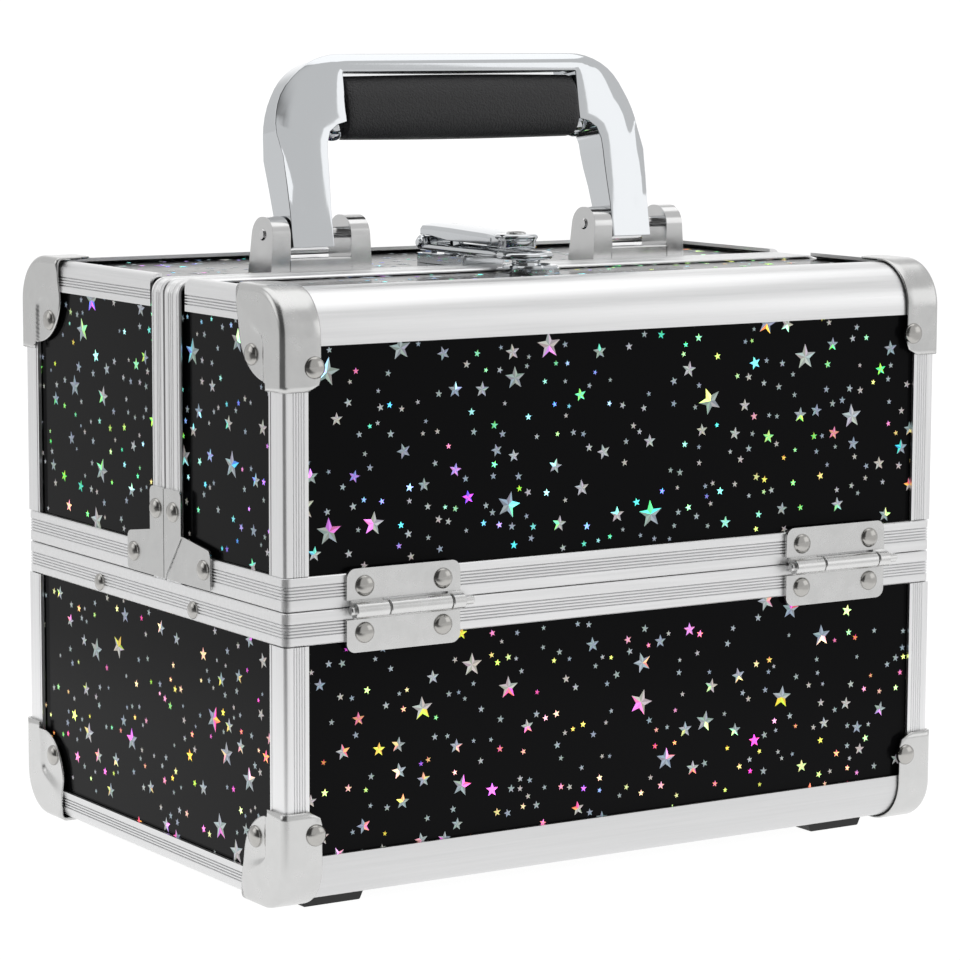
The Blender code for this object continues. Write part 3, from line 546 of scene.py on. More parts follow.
CAP_OUT = 1.3  # how far a cap stands proud of the rails
CAP_WIDE = {True: 28.3, False: 26.6}  # top and bottom
CAP_HIGH = 31.6
CAP_FILLET = 2.4
STRAP = 13.0
LOBE_R = 17
LOBE = (9.6, 12.2)  # centre of the lobe that holds the end rivet, inward and down from the corner
STEP_A = 10.6  # where the lobe steps down behind the post's cover
STEP_DEEP = 0.95


def smooth_step(t):
    t = min(max(t, 0), 1)
    return t * t * (3 - 2 * t)


def cap_sink(a, b):
    """How far the lobe's face lies behind the cap's outer face."""
    slope = ((a - STEP_A) * 4 + (b - 15) * 6.1) / 7.3
    inside = min(a - STEP_A, slope)
    soft = 1.9 + max(0, a - 14) * 0.5
    return STEP_DEEP * smooth_step(inside / soft)


def cap_path(radius, wide):
    """(place, outward normal) from the strap's foot round the corner to the far end of the top."""
    path = []
    for i in range(8):
        path.append(((-CAP_OUT, CAP_HIGH + (radius - CAP_HIGH) * i / 8), (-1, 0)))
    for i in range(17):
        turn = math.pi / 2 * i / 16
        out = (-math.cos(turn), -math.sin(turn))
        place_at = (radius + out[0] * (radius + CAP_OUT), radius + out[1] * (radius + CAP_OUT))
        path.append((place_at, out))
    for i in range(1, 7):
        path.append(((radius + (wide - radius) * i / 6, -CAP_OUT), (0, -1)))
    return path


def cap_inner(share, wide):
    """The edge of the end plate opposite the corner: up the post, round the lobe and up to the top."""
    foot, lobe_start = Vector((LOBE[0], CAP_HIGH)), Vector((LOBE[0], LOBE[1] + LOBE_R))
    lengths = (foot - lobe_start).length, LOBE_R * math.pi / 2, LOBE[1] - 3.0
    at = share * sum(lengths)
    if at < lengths[0]:
        return foot.lerp(lobe_start, at / lengths[0])
    at -= lengths[0]
    if at < lengths[1]:
        turn = at / LOBE_R
        return Vector((LOBE[0] + (wide - LOBE[0]) * math.sin(turn), LOBE[1] + LOBE_R * math.cos(turn)))
    at -= lengths[1]
    return Vector((wide, LOBE[1])).lerp(Vector((wide, 3.0)), min(at / lengths[2], 1))


def make_cap(side, end, top):
    radius = TOP_RAIL_R if top else FOOT_RAIL_R
    edge, up = (TOP_Z, -1) if top else (BASE_Z, 1)

    def at(a, b, c):
        return (end * (HALF_X - c), side * (HALF_Y - a), edge + up * b)

    wide = CAP_WIDE[top]
    path = cap_path(radius, wide)
    rows = []
    for index, (spot, out) in enumerate(path):
        spot, out = Vector(spot), Vector(out)
        to_end = CAP_HIGH - spot.y if index < 12 else max(wide - spot.x, 0)
        bend = 4.5
        short = 0 if to_end > bend else bend - math.sqrt(max(bend ** 2 - (bend - to_end) ** 2, 0))
        start = CAP_FILLET - CAP_OUT
        reach = STRAP - short
        row = []
        lip = ((0, 0.75), (-0.12, 0.25), (-0.55, 0.0))
        for drop, back in reversed(lip):
            spread = spot + out * drop
            row.append(at(*spread, reach - back))
        for share in (0.8, 0.5, 0.2):
            row.append(at(*spot, start + (reach - 1 - start) * share))
        for step in range(9):
            turn = math.pi / 2 * step / 8
            spread = spot - out * CAP_FILLET * (1 - math.cos(turn))
            row.append(at(*spread, -CAP_OUT + CAP_FILLET * (1 - math.sin(turn))))
        foot = spot - out * CAP_FILLET
        far = cap_inner(index / (len(path) - 1), wide)
        for step in range(1, 43):
            a, b = foot.lerp(far, step / 42)
            row.append(at(a, b, -CAP_OUT + cap_sink(a, b)))
        rows.append(row)
    shape = bmesh.new()
    grid(shape, rows, flip=side * end * up < 0)
    place_name = "top" if top else "bottom"
    node = f"corner_cap_{place_name}_{LID[side]}_{END[end]}"
    body = f"{LID[side]}_lid" if top else "case_body"
    add_piece(f"pressed_{node}", shape, body, STEEL, [node], sharp=50, thick=0.9, fix=False)
    x, z = end * (HALF_X - 10.4), edge + up * 24
    rivet(body, "Y", (x, z), side * (HALF_Y + CAP_OUT), side, CAP_RIVET)
    y, z = side * (HALF_Y - (20 if top else 18.9)), edge + up * 21
    rivet(body, "X", (y, z), end * (HALF_X + CAP_OUT - STEP_DEEP), end, CAP_RIVET)


rivets = {}
DOME = [(1.0, -0.25)]
DOME += [(math.cos(math.pi * i / 18), 0.5 * math.sin(math.pi * i / 18)) for i in range(10)]


def rivet(body, axis, centre, face, way, radius):
    """Adds a domed rivet head, to be joined with the others on its body."""
    shape = rivets.setdefault(body, bmesh.new())
    profile = [(radius * r, face + way * radius * h) for r, h in DOME]
    turned(shape, axis, centre, profile)


def make_corner_brackets():
    foot = SPLIT_Z + 0.6
    for side in (FRONT, REAR):
        name = f"{LID[side]}_lid"
        face = SPLIT_Y + side * SPLIT_GAP
        post = face + side * (CLOSING_WIDTH + (1.2 if side == FRONT else -1.0))
        tip = face + side * (31 if side == FRONT else 27.4)
        leg = rounded((face, foot), (post, foot + 15.5), (post, SPLIT_Z + 31, 2.2), (face, SPLIT_Z + 31, 1.2))
        wing = rounded((face + side * 0.8, foot), (tip, foot, 1.6), (tip, SPLIT_Z + 13.6, 2.4),
                       (post - side * 0.6, SPLIT_Z + 16.2), (post - side * 0.6, foot + 14.4))
        for end in (LEFT, RIGHT):
            shape = bmesh.new()
            prism(shape, "X", *sorted((end * (CLOSING_X + 0.05), end * (CLOSING_X + 0.75))), leg)
            prism(shape, "X", *sorted((end * (HALF_X + 0.05), end * (CLOSING_X + 0.15))), wing)
            node = f"{name}_bracket_{END[end]}"
            add_piece(f"stamped_{node}", shape, name, STEEL, [node], bevel=0.25)
            high = (face + side * (6.4 if side == FRONT else 5.4), SPLIT_Z + 23.6)
            wide = (tip - side * 4.6, SPLIT_Z + 7)
            rivet(name, "X", high, end * (CLOSING_X + 0.75), end, BRACKET_RIVET)
            rivet(name, "X", wide, end * (CLOSING_X + 0.15), end, BRACKET_RIVET)
    for end in (LEFT, RIGHT):
        for y in (36.2, -31.9):
            rivet("case_body", "X", (y, SPLIT_Z - 7.45), end * HALF_X, end, BAND_RIVET)


LEAF_HALF = 21.2
LEAF_THICK = 1.0
BARREL_R, PIN_R = 2.7, 1.5


def make_hinge(side, end):
    """The lid's leaf with the outer barrels, and the body's leaf with the middle barrel and the pin."""
    middle = end * HINGE_X
    tag = f"{LID[side]}_{END[end]}"
    plate = sorted((side * (HALF_Y + 0.1), side * (HALF_Y + 0.3 + LEAF_THICK)))
    knuckle = (middle - 7, middle + 16)
    levels = {"lower": (SPLIT_Z - 14.5, HINGE_Z - 1.0), "upper": (SPLIT_Z + 12.5, HINGE_Z + 1.0)}
    outer_knuckles = [(middle - 19.6, knuckle[0] - 0.35), (knuckle[1] + 0.35, middle + LEAF_HALF)]
    spans = {"lower": [knuckle], "upper": outer_knuckles}
    for leaf, body in (("lower", "case_body"), ("upper", f"{LID[side]}_lid")):
        shape = bmesh.new()
        far, near = levels[leaf]
        clear = HINGE_Z + (3.1 if leaf == "upper" else -3.1)
        left, right = middle - LEAF_HALF, middle + LEAF_HALF
        outline = rounded((left, clear), (left, far, 3.2), (right, far, 3.2), (right, clear), steps=6)
        prism(shape, "Y", *plate, outline)
        for start, stop in spans[leaf]:
            edges = max(start, left), min(stop, right)
            tang = [(edges[0], clear), (edges[1], clear), (edges[1], near), (edges[0], near)]
            prism(shape, "Y", *plate, tang)
        for start, stop in spans[leaf]:
            turned(shape, "X", (side * HINGE_Y, HINGE_Z), chamfered(BARREL_R, start, stop, 0.35))
        if leaf == "lower":
            turned(shape, "X", (side * HINGE_Y, HINGE_Z), chamfered(PIN_R, middle - 21.0, middle + 25))
        add_piece(f"stamped_hinge_{leaf}_{tag}", shape, body, LEAF_STEEL,
                  [f"hinge_{leaf}_leaf_{tag}"], bevel=0.22)
        z = SPLIT_Z + (6.85 if leaf == "upper" else -8.2)
        for step in (-14.6, 14.6):
            rivet(body, "Y", (middle + step, z), plate[0 if side < 0 else 1], side, LEAF_RIVET)


# ---- handle


BOW_LEFT, BOW_RIGHT = corners_of("handle_bow")[0].x, corners_of("handle_bow")[1].x
BOW_MIDDLE = (BOW_LEFT + BOW_RIGHT) / 2
BOW_TOP = 273
BOW_OUT = (BOW_RIGHT - BOW_LEFT) / 2
LEG_OUT, LEG_IN = 73.6, 57.4
FOOT_Z = 206.6
PIN_Y, PIN_Z = 2.2, 212.2
HANDLE_LEAN = 10  # degrees that the handle leans back from upright
GRIP_LOW = Vector((corners_of("handle_grip")[0].x, -6, 243.6))
GRIP_HIGH = Vector((corners_of("handle_grip")[1].x, 10.4, 266))


def lean_back(shape):
    """Turns a piece that was built upright round the handle's pin."""
    turn = Matrix.Rotation(-math.radians(HANDLE_LEAN), 3, "X")
    bmesh.ops.rotate(shape, verts=shape.verts, cent=(0, PIN_Y, PIN_Z), matrix=turn)


def bow_outer():
    """Half of the bow's outside, from the foot of a leg to the middle of the top: (out, z)."""
    bend_z = 246
    points = [(LEG_OUT, FOOT_Z), (LEG_OUT, 213), (LEG_OUT, 219), (73.9, 228), (74.2, 238), (BOW_OUT, bend_z)]
    turn_x, turn_z = 27, BOW_TOP - bend_z
    for i in range(1, 13):
        turn = math.pi / 2 * i / 12
        points.append((BOW_OUT - turn_x * (1 - math.cos(turn)), bend_z + turn_z * math.sin(turn)))
    return [*points, (40, BOW_TOP), (28, BOW_TOP), (14, BOW_TOP), (0, BOW_TOP)]


def bow_inner():
    """The bow's inside, matched with the outside: up to the grip's end, and then along over the grip."""
    grip_end = GRIP_HIGH.x - BOW_MIDDLE + 0.7
    over = GRIP_HIGH.z + 0.3
    leg = [(LEG_IN, FOOT_Z), (LEG_IN, 213), (LEG_IN, 219), (57.0, 226), (56.7, 233), (56.6, 238), (56.3, 242),
           (54.9, 246), (51.5, 248.4)]
    beside_grip = [(grip_end, z) for z in (249.3, 253, 257, 260.5, 263.5, 265.2, over)]
    return [*leg, *beside_grip, *((x, over) for x in (grip_end - 0.8, 45, 40, 28, 14, 0))]


def crease_level(share):
    """Height of the curved crease on a leg, from its outer edge (0) to its inner edge (1)."""
    return 237.5 - 20 * math.sin(math.pi / 2 * share) ** 0.85


def bow_front(z, share):
    """How far the bow's front face lies behind its foremost plane."""
    above = z - crease_level(share)
    if above <= 0:
        return 0.0
    grow = 1 - math.exp(-above / 9)
    deep = 5.0 - 2.2 * smooth_step((z - 258) / 12)
    outer = max(0, 1 - share / 0.62)
    inner = max(0, (share - 0.80) / 0.20)
    return grow * (deep * outer ** 2 + 0.3 * inner ** 2) + 0.03 * above ** 0.5


def make_bow():
    outer, inner = bow_outer(), bow_inner()
    shape = bmesh.new()
    across = 15
    front_y = -4.6

    def station(o, i, mirror):
        """One closed ring round the bow's section."""
        o, i = Vector(o), Vector(i)
        height = (o.y + i.y) / 2
        deep = smooth_step((height - 218) / 26) * smooth_step((278 - height) / 12)
        back_y = 7.4 + 3.6 * deep
        ring = []
        for step in range(across + 1):
            share = step / across
            spot = o.lerp(i, share)
            ring.append((spot.x, front_y + bow_front(spot.y, share), spot.y))
        for step in range(across + 1):
            share = 1 - step / across
            spot = o.lerp(i, share)
            behind = bow_front(spot.y, share) * 0.8
            ring.append((spot.x, back_y - behind, spot.y))
        return [(BOW_MIDDLE + mirror * x, y, z) for x, y, z in ring]

    rows = [station(o, i, -1) for o, i in zip(outer, inner)]
    rows += [station(o, i, 1) for o, i in reversed(list(zip(outer, inner))[:-1])]
    tube(shape, rows)
    for mirror in (-1, 1):
        x = BOW_MIDDLE + mirror * 50.0
        turns = [math.pi * i / 12 for i in range(13)]
        ball = [(4.6 * math.sin(turn), 3.2 - 4.6 * math.cos(turn)) for turn in turns]
        turned(shape, "Y", (x, 248.2), ball, 24)
        low, high = sorted((BOW_MIDDLE + mirror * LEG_OUT, BOW_MIDDLE + mirror * LEG_IN))
        turned(shape, "X", (PIN_Y, PIN_Z), chamfered(5.6, low, high))
    lean_back(shape)
    add_piece("chrome_bow", shape, "handle", CHROME, ["handle_bow"], sharp=38, bevel=0.35)


def make_grip():
    """A soft black grip: a rounded section, a little fuller in the middle, with a groove by each end."""
    middle_y = (GRIP_LOW.y + GRIP_HIGH.y) / 2
    half = (GRIP_HIGH.y - GRIP_LOW.y) / 2
    centre_z = (GRIP_LOW.z + GRIP_HIGH.z) / 2
    tall = (GRIP_HIGH.z - GRIP_LOW.z) / 2
    section = []
    for i in range(40):
        turn = 2 * math.pi * i / 40
        square = (abs(math.cos(turn)) ** 2.6 + abs(math.sin(turn)) ** 2.6) ** (-1 / 2.6)
        section.append((half * square * math.cos(turn), centre_z + tall * square * math.sin(turn)))
    length = GRIP_HIGH.x - GRIP_LOW.x
    rows = []
    between = [0.03 + 0.94 * i / 16 for i in range(1, 16)]
    stations = [0, 0.004, 0.012, 0.03, *between, 0.97, 0.988, 0.996, 1]
    for share in stations:
        edge = min(share, 1 - share) * length
        swell = 0.965 + 0.035 * math.sin(math.pi * share) - 0.05 * max(0, 1 - edge / 0.8)
        x = GRIP_LOW.x + share * length
        rows.append([(x, middle_y + y * swell, centre_z + (z - centre_z) * swell) for y, z in section])
    shape = bmesh.new()
    tube(shape, rows)
    lean_back(shape)
    add_piece("soft_grip", shape, "handle", GRIP, ["handle_grip"], sharp=60)


def make_handle_brackets():
    for end in (LEFT, RIGHT):
        node = f"handle_bracket_{END[end]}"
        low, high = corners_of(node)
        inner, outer = sorted((54.0, 77.6))
        slot = sorted((end * inner, end * outer))
        base, floor_z, top = PANEL_TOP + 0.1, 204.4, high.z
        cheek = rounded((low.y, base), (high.y, base), (high.y - 1.6, top, 6.6), (low.y, top, 6.6), steps=8)
        shape = bmesh.new()
        lean = 1.2
        middle = (low.x + high.x) / 2
        half = (high.x - low.x) / 2
        for start, stop in ((middle - half, slot[0]), (slot[1], middle + half)):
            outside_left = start < middle - half + 0.1
            rows = []
            for x, is_outside in ((start, outside_left), (stop, not outside_left)):
                row = []
                for y, z in cheek:
                    shift = lean * (z - base) / (top - base) if is_outside else 0
                    row.append((x + (shift if outside_left else -shift), y, z))
                rows.append(row)
            tube(shape, rows)
        bridge = rounded((low.y, base), (high.y - 0.2, base), (high.y - 0.6, floor_z, 0.8),
                         (low.y, floor_z, 0.8))
        prism(shape, "X", slot[0] - 0.5, slot[1] + 0.5, bridge)
        pin = chamfered(2.0, middle - half + 0.2, middle + half - 0.2)
        turned(shape, "X", (PIN_Y, PIN_Z), pin, 20)
        add_piece(f"cast_{node}", shape, "rear_lid", BRACKET_CHROME, [node], bevel=0.45)


# ---- latch


LATCH_Y, LATCH_Z = 25, 206
NOSE_Y = -25


def make_latch():
    base = PANEL_TOP + 0.1
    shape = bmesh.new()
    block = rounded((-8.4, -4.6, 1.0), (8.4, -4.6, 1.0), (8.4, 28.4, 2.5), (-8.4, 28.4, 2.5))
    prism(shape, "Z", base, 202.3, block)
    ear_y, ear_top = LATCH_Y + 2.3, LATCH_Z + 2.3
    ear = rounded((LATCH_Y - 4, 201), (LATCH_Y - 3.4, ear_top, 2.2), (ear_y, ear_top, 2.2), (ear_y, 201))
    for end in (LEFT, RIGHT):
        prism(shape, "X", end * 4.6 - 1.2, end * 4.6 + 1.2, ear)
    turned(shape, "X", (LATCH_Y, LATCH_Z), chamfered(1.6, -9.4, 9.4), 20)
    for x in (-6.6, 6.6):
        screw = ((1.5, 202.2), (1.5, 202.7), (1.1, 203.0), (0.5, 203.0), (0.4, 202.7))
        turned(shape, "Z", (x, 0.5), screw, 16)
    add_piece("cast_latch_base", shape, "rear_lid", CHROME, ["latch_base"], bevel=0.35)
    make_loop()
    make_lever()
    make_catch(base)


def make_loop():
    """The loop: two side bars from the pin's eyes and a round front that holds the boss."""
    shape = bmesh.new()
    low, high = 203.2, 205.6
    bar, bars_x, ring_r, ring_y = 2.2, 7.3, 8.9, -30.2
    line = [(-bars_x, LATCH_Y + 0.5), (-bars_x, 10), (-bars_x, -8), (-bars_x, -20)]
    first = math.acos(bars_x / ring_r)
    for i in range(29):
        turn = first - (math.pi + 2 * first) * i / 28
        line.append((-ring_r * math.cos(turn), ring_y + ring_r * math.sin(turn)))
    line += [(bars_x, -20), (bars_x, -8), (bars_x, 10), (bars_x, LATCH_Y + 0.5)]
    rows = []
    for i, (x, y) in enumerate(line):
        before = Vector(line[max(i - 1, 0)])
        after = Vector(line[min(i + 1, len(line) - 1)])
        along = (after - before).normalized()
        across = Vector((-along.y, along.x))
        ring = []
        for p, q in circle((0, 0), 1, 12):
            wide, tall = p * bar / 2, q * (high - low) / 2
            spot = Vector((x, y)) + across * wide
            ring.append((spot.x, spot.y, (low + high) / 2 + tall))
        rows.append(ring)
    tube(shape, rows)
    for end in (LEFT, RIGHT):
        start, stop = sorted((end * 8.4, end * 6.2))
        turned(shape, "X", (LATCH_Y, LATCH_Z), chamfered(2.6, start, stop), 20)
    add_piece("latch_link", shape, "latch_loop", CHROME, ["latch_loop"], sharp=50)


def make_lever():
    """The lever: a tapering plate with turned-down sides and a round nose that houses the lock."""
    shape = bmesh.new()
    under = 206.1
    rows = []
    stations = ((28, 5.6, 211.2), (26.5, 7.2, 212.4), (20, 7.5, 212.6), (8, 7.6, 212.4), (-4, 7.5, 212.0),
                (-14, 7.4, 211.7), (-20, 7.3, 211.3))
    for y, half, top in stations:
        low = under + (2.6 if y > 12 else 1.4)
        crown = top + 0.28
        left = [(-half, y, low), (-half, y, top - 1.6), (-half + 0.8, y, top - 0.5), (-half * 0.4, y, crown)]
        rows.append([*left, *((-x, y, z) for x, y, z in reversed(left))])
    tube(shape, rows)
    nose = ((5.6, under), (6.6, under + 0.4), (6.9, under + 1.4), (6.9, 209.4), (7.4, 210.0), (7.5, 210.8),
            (7.0, 211.4), (5.0, 211.6))
    turned(shape, "Z", (0, NOSE_Y), nose, 40)
    prism(shape, "X", -7.0, 7.0, [(NOSE_Y, under + 1), (-17, under + 1), (-17, 210.8), (NOSE_Y, 210.8)])
    turned(shape, "X", (LATCH_Y, LATCH_Z), chamfered(3.0, -3.1, 3.1), 20)
    add_piece("cast_latch_lever", shape, "latch_lever", CHROME, ["latch_lever"], bevel=0.3)
    lock = bmesh.new()
    cylinder = ((3.4, 211.4), (3.4, 211.9), (3.1, 212.1), (2.9, 212.1), (2.9, 211.85), (0.5, 211.85))
    turned(lock, "Z", (0, NOSE_Y), cylinder, 32)
    add_piece("lock_cylinder", lock, "latch_lever", LEAF_STEEL, sharp=40)
    # Painted shade: the keyway is a thin black slab on the cylinder's face, standing for the dark slot.
    keyway = bmesh.new()
    slot = [(end * 0.45, NOSE_Y + along * 2, 0.3) for end, along in ((-1, -1), (1, -1), (1, 1), (-1, 1))]
    prism(keyway, "Z", 211.7, 211.92, rounded(*slot))
    add_piece("lock_keyway_painted_shade", keyway, "latch_lever", RUBBER_AND_KEYWAY_SHADE, sharp=40)


def make_catch(base):
    shape = bmesh.new()
    plate = rounded((-9.8, -43.8, 9.2), (9.8, -43.8, 9.2), (9.8, -26.5, 2), (-9.8, -26.5, 2), steps=10)
    prism(shape, "Z", base, base + 1.5, plate)
    ring = ((9.3, 1.3), (9.6, 1.9), (9.2, 2.5), (7.2, 2.7), (6.8, 2.2), (5, 2.2))
    turned(shape, "Z", (0, -33.8), [(radius, base + up) for radius, up in ring], 40)
    boss = ((5.2, 1.4), (4.9, 3.2), (5.1, 4.4), (5.3, 5.0), (4.8, 5.5), (2, 5.6))
    turned(shape, "Z", (0, -31.5), [(radius, base + up) for radius, up in boss], 36)
    add_piece("cast_latch_catch", shape, "front_lid", CHROME, ["latch_catch"], bevel=0.25)


# ---- stars


SILVER = ((0.34, 0.40, 0.43), (0.42, 0.45, 0.46), (0.27, 0.33, 0.40), (0.46, 0.44, 0.42), (0.30, 0.36, 0.36))


def hue_colour(hue, strength, light):
    """A foil colour: a hue from 0 to 1, pale to strong."""
    channels = [abs(((hue * 6 + shift) % 6) - 3) - 1 for shift in (0, 4, 2)]
    return tuple(light * (1 - strength + strength * min(max(c, 0), 1)) for c in channels)


def painted_iridescence_hue(draw, x, z):
    """The foil's hue is painted by place on the case: greens, blues and yellows high up, reds and pinks low
    down. It stands for the rainbow colour that the foil reflects under the studio's light and view: painted
    reflection.
    """
    high = (z - SPLIT_Z) / (TOP_Z - SPLIT_Z)
    drift = 0.40 - 0.30 * x / HALF_X if high > 0 else 0.02 + 0.05 * x / HALF_X
    return (drift + draw.gauss(0, 0.13)) % 1


def add_star(shape, layer, draw, to_world, centre, radius, x, z):
    """A five-pointed star of ten facets, raised a little in the middle. Some facets carry painted glints in
    colour, and alternate facets are painted lighter and darker as painted shade.
    """
    tilt = draw.gauss(0, 0.16)
    hue = painted_iridescence_hue(draw, x, z)
    silver = draw.choice(SILVER)
    # Painted glints: on a bright star a run of lit facets is painted in colour, up to 2.2 times as bright.
    bright = draw.random() < (0.75 if radius > 2.4 else 0.36)
    first = draw.randrange(10)
    lit = draw.choice((2, 3, 4)) if radius > 2.4 else 10
    strong = draw.uniform(0.55, 0.95)
    light = draw.uniform(0.7, 1.25) if draw.random() < 0.6 else draw.uniform(1.3, 2.2)
    middle = shape.verts.new(to_world(centre[0], centre[1], 0.16 if radius > 2.4 else 0.1))
    rim = []
    for i in range(10):
        turn = math.pi / 2 + tilt + math.pi * i / 5
        reach = radius if i % 2 == 0 else radius * 0.42
        p, q = centre[0] + reach * math.cos(turn), centre[1] + reach * math.sin(turn)
        rim.append(shape.verts.new(to_world(p, q, 0.03)))
    for i in range(10):
        face = shape.faces.new((middle, rim[i], rim[(i + 1) % 10]))
        # Painted shade: alternate facets of each point are painted lighter and darker, as its lit and shaded
        # sides.
        shade = 1.0 + (0.22 if i % 2 else -0.18) * (1 if radius > 1.4 else 0.3)
        if bright and (i - first) % 10 < lit:
            colour = hue_colour((hue + 0.06 * (i % 3)) % 1, strong, light * shade)
        else:
            colour = tuple(c * shade * draw.uniform(0.85, 1.1) for c in silver)
        for loop in face.loops:
            loop[layer] = (*colour, 1)


def star_panel(name, body, width, height, start, ways, seed):
    """Stars of three sizes scattered over a panel without touching. ways are across, up and out."""

    def to_world(p, q, out):
        return Vector(start) + ways[0] * p + ways[1] * q + ways[2] * out

    draw = random.Random(seed)
    shape = bmesh.new()
    layer = shape.loops.layers.float_color.new("facet")
    area = width * height
    taken = []
    sizes = ((1500, 3.6, 4.8, 5), (420, 2.1, 2.9, 2.4), (88, 0.85, 1.5, 1.2))
    for area_each, low, high, room in sizes:
        count = area / area_each
        made = 0
        for _ in range(int(count) * 30):
            if made >= count:
                break
            p, q = draw.uniform(1, width - 1), draw.uniform(1, height - 1)
            radius = draw.uniform(low, high)
            if any((p - a) ** 2 + (q - b) ** 2 < (radius + r + room) ** 2 * 0.8 for a, b, r in taken):
                continue
            taken.append((p, q, radius))
            made += 1
            world = to_world(p, q, 0)
            along = world.y * 1.3 if ways[0].y else world.x
            add_star(shape, layer, draw, to_world, (p, q), radius, along, world.z)
    add_piece(name, shape, body, GLOWING_FOIL, sharp=5, fix=False)


def make_stars():
    """Stars on the long faces, the ends and the top. Each panel has its start, and its ways across and up."""
    skin = 0.04
    flat, upright = Vector((0, 1, 0)), Vector((0, 0, 1))
    panels = []
    for side in (FRONT, REAR):
        name = f"{LID[side]}_lid"
        wide = 2 * (HALF_X - 6)
        levels = (("case_body", "body", BASE_Z + 13, BAND_LOW), (name, "lid", LID_BAND_TOP, TOP_Z - 15))
        for body, kind, low, high in levels:
            start = (side * (HALF_X - 6), side * (PANEL_Y + skin), low)
            ways = (Vector((-side, 0, 0)), upright, Vector((0, side, 0)))
            panels.append((f"{LID[side]}_{kind}_stars", body, wide, high - low, start, ways))
    for end in (LEFT, RIGHT):
        ranges = (("case_body", "body", -HALF_Y + 6, HALF_Y - 6, BASE_Z + 6, BAND_LOW),
                  ("front_lid", "front_lid", -HALF_Y + 6, SPLIT_Y - 4, LID_BAND_TOP, TOP_Z - 8),
                  ("rear_lid", "rear_lid", SPLIT_Y + 6, HALF_Y - 6, LID_BAND_TOP, TOP_Z - 8))
        for body, kind, y0, y1, low, high in ranges:
            start = (end * (PANEL_X + skin), y1 if end == LEFT else y0, low)
            ways = (flat * end, upright, Vector((end, 0, 0)))
            panels.append((f"{kind}_{END[end]}_end_stars", body, y1 - y0, high - low, start, ways))
    for side in (FRONT, REAR):
        y0, y1 = sorted((side * (HALF_Y - 16), SPLIT_Y + side * 6))
        start = (-HALF_X + 8, y0, PANEL_TOP + skin)
        ways = (Vector((1, 0, 0)), flat, upright)
        panels.append((f"{LID[side]}_top_stars", f"{LID[side]}_lid", 2 * (HALF_X - 8), y1 - y0, start, ways))
    for number, panel in enumerate(panels, 1):
        star_panel(*panel, seed=11 + 7 * number)


# ---- inside, feet and CAD nodes that stay


def open_box(shape, low, high, wall, skip=()):
    """Adds the walls of an open box, each a thin slab. skip names the sides left out."""
    (x0, y0, z0), (x1, y1, z1) = low, high
    slabs = {
        "left": ((x0, y0, z0), (x0 + wall, y1, z1)), "right": ((x1 - wall, y0, z0), (x1, y1, z1)),
        "front": ((x0, y0, z0), (x1, y0 + wall, z1)), "rear": ((x0, y1 - wall, z0), (x1, y1, z1)),
        "floor": ((x0, y0, z0), (x1, y1, z0 + wall)), "top": ((x0, y0, z1 - wall), (x1, y1, z1)),
    }
    for name, (a, b) in slabs.items():
        if name not in skip:
            prism(shape, "Z", a[2], b[2], [(a[0], a[1]), (b[0], a[1]), (b[0], b[1]), (a[0], b[1])])


def make_inside():
    shape = bmesh.new()
    open_box(shape, (-124.9, -88.2, 9.0), (124.9, 88.2, 87.6), 0.5, skip=("top",))
    add_piece("body_lining", shape, "case_body", LINING)
    for level in ("lower", "upper"):
        for side in (FRONT, REAR):
            make_tray(f"{LID[side]}_tray_{level}")
    kept = {"tray_arm": ZINC, "pivot_plate": ZINC, "foot_": RUBBER_AND_KEYWAY_SHADE, "_panel": BOARD, "_shell": BOARD}
    for part, stuff in kept.items():
        for name, made in frame["nodes"].items():
            if part in name and not name.startswith("handle"):
                made.data.materials.clear()
                made.data.materials.append(stuff)


def make_tray(node):
    """An open tray with rounded corners, a turned rim, four pins and a lining on its floor."""
    low, high = corners_of(node)
    half = 118.8
    shape = bmesh.new()
    wall = 1.6

    def plan(inset, bend, steps):
        x0, x1, y0, y1 = -half + inset, half - inset, low.y + inset, high.y - inset
        return rounded((x0, y0, bend), (x1, y0, bend), (x1, y1, bend), (x0, y1, bend), steps=steps)

    rings = ((1.2, low.z, 3.0), (0.3, low.z + 0.9, 3.9), (0.3, high.z - 2.2, 3.9), (0, high.z - 2.0, 4.2),
             (0, high.z - 0.3, 4.2), (0.4, high.z, 3.8), (wall, high.z, 2.6), (wall + 0.2, low.z + 2.8, 2.4),
             (wall + 1.2, low.z + wall, 1.4))
    rows = [[(x, y, z) for x, y in plan(inset, bend, 5)] for inset, z, bend in rings]
    tube(shape, rows)
    joint = next(j for j in frame["joints"] if j["child"] == node)
    y, z = joint["pos_m"][1] / MM, joint["pos_m"][2] / MM
    side = 1 if y > 0 else -1
    for end in (LEFT, RIGHT):
        for spot, stop in (((y, z), 127.0), ((y - side * 20, z - 4), 123.5)):
            start, far = sorted((end * (half - 1.0), end * stop))
            turned(shape, "X", spot, chamfered(2.0, start, far, 0.3), 20)
    add_piece(f"moulded_{node}", shape, node, TRAY, [node], sharp=40)
    felt = bmesh.new()
    prism(felt, "Z", low.z + 1.65, low.z + 2.2, plan(3, 2, 4))
    add_piece(f"{node}_lining", felt, node, LINING)


# ---- stage


def area_light(name, spot, aim, size, power, tall=None):
    lamp = bpy.data.lights.new(name, "AREA")
    lamp.energy = power
    lamp.size = size
    if tall:
        lamp.shape = "RECTANGLE"
        lamp.size_y = tall
    made = bpy.data.objects.new(name, lamp)
    made.location = spot
    made.rotation_euler = (Vector(aim) - Vector(spot)).to_track_quat("-Z", "Y").to_euler()
    bpy.context.scene.collection.objects.link(made)


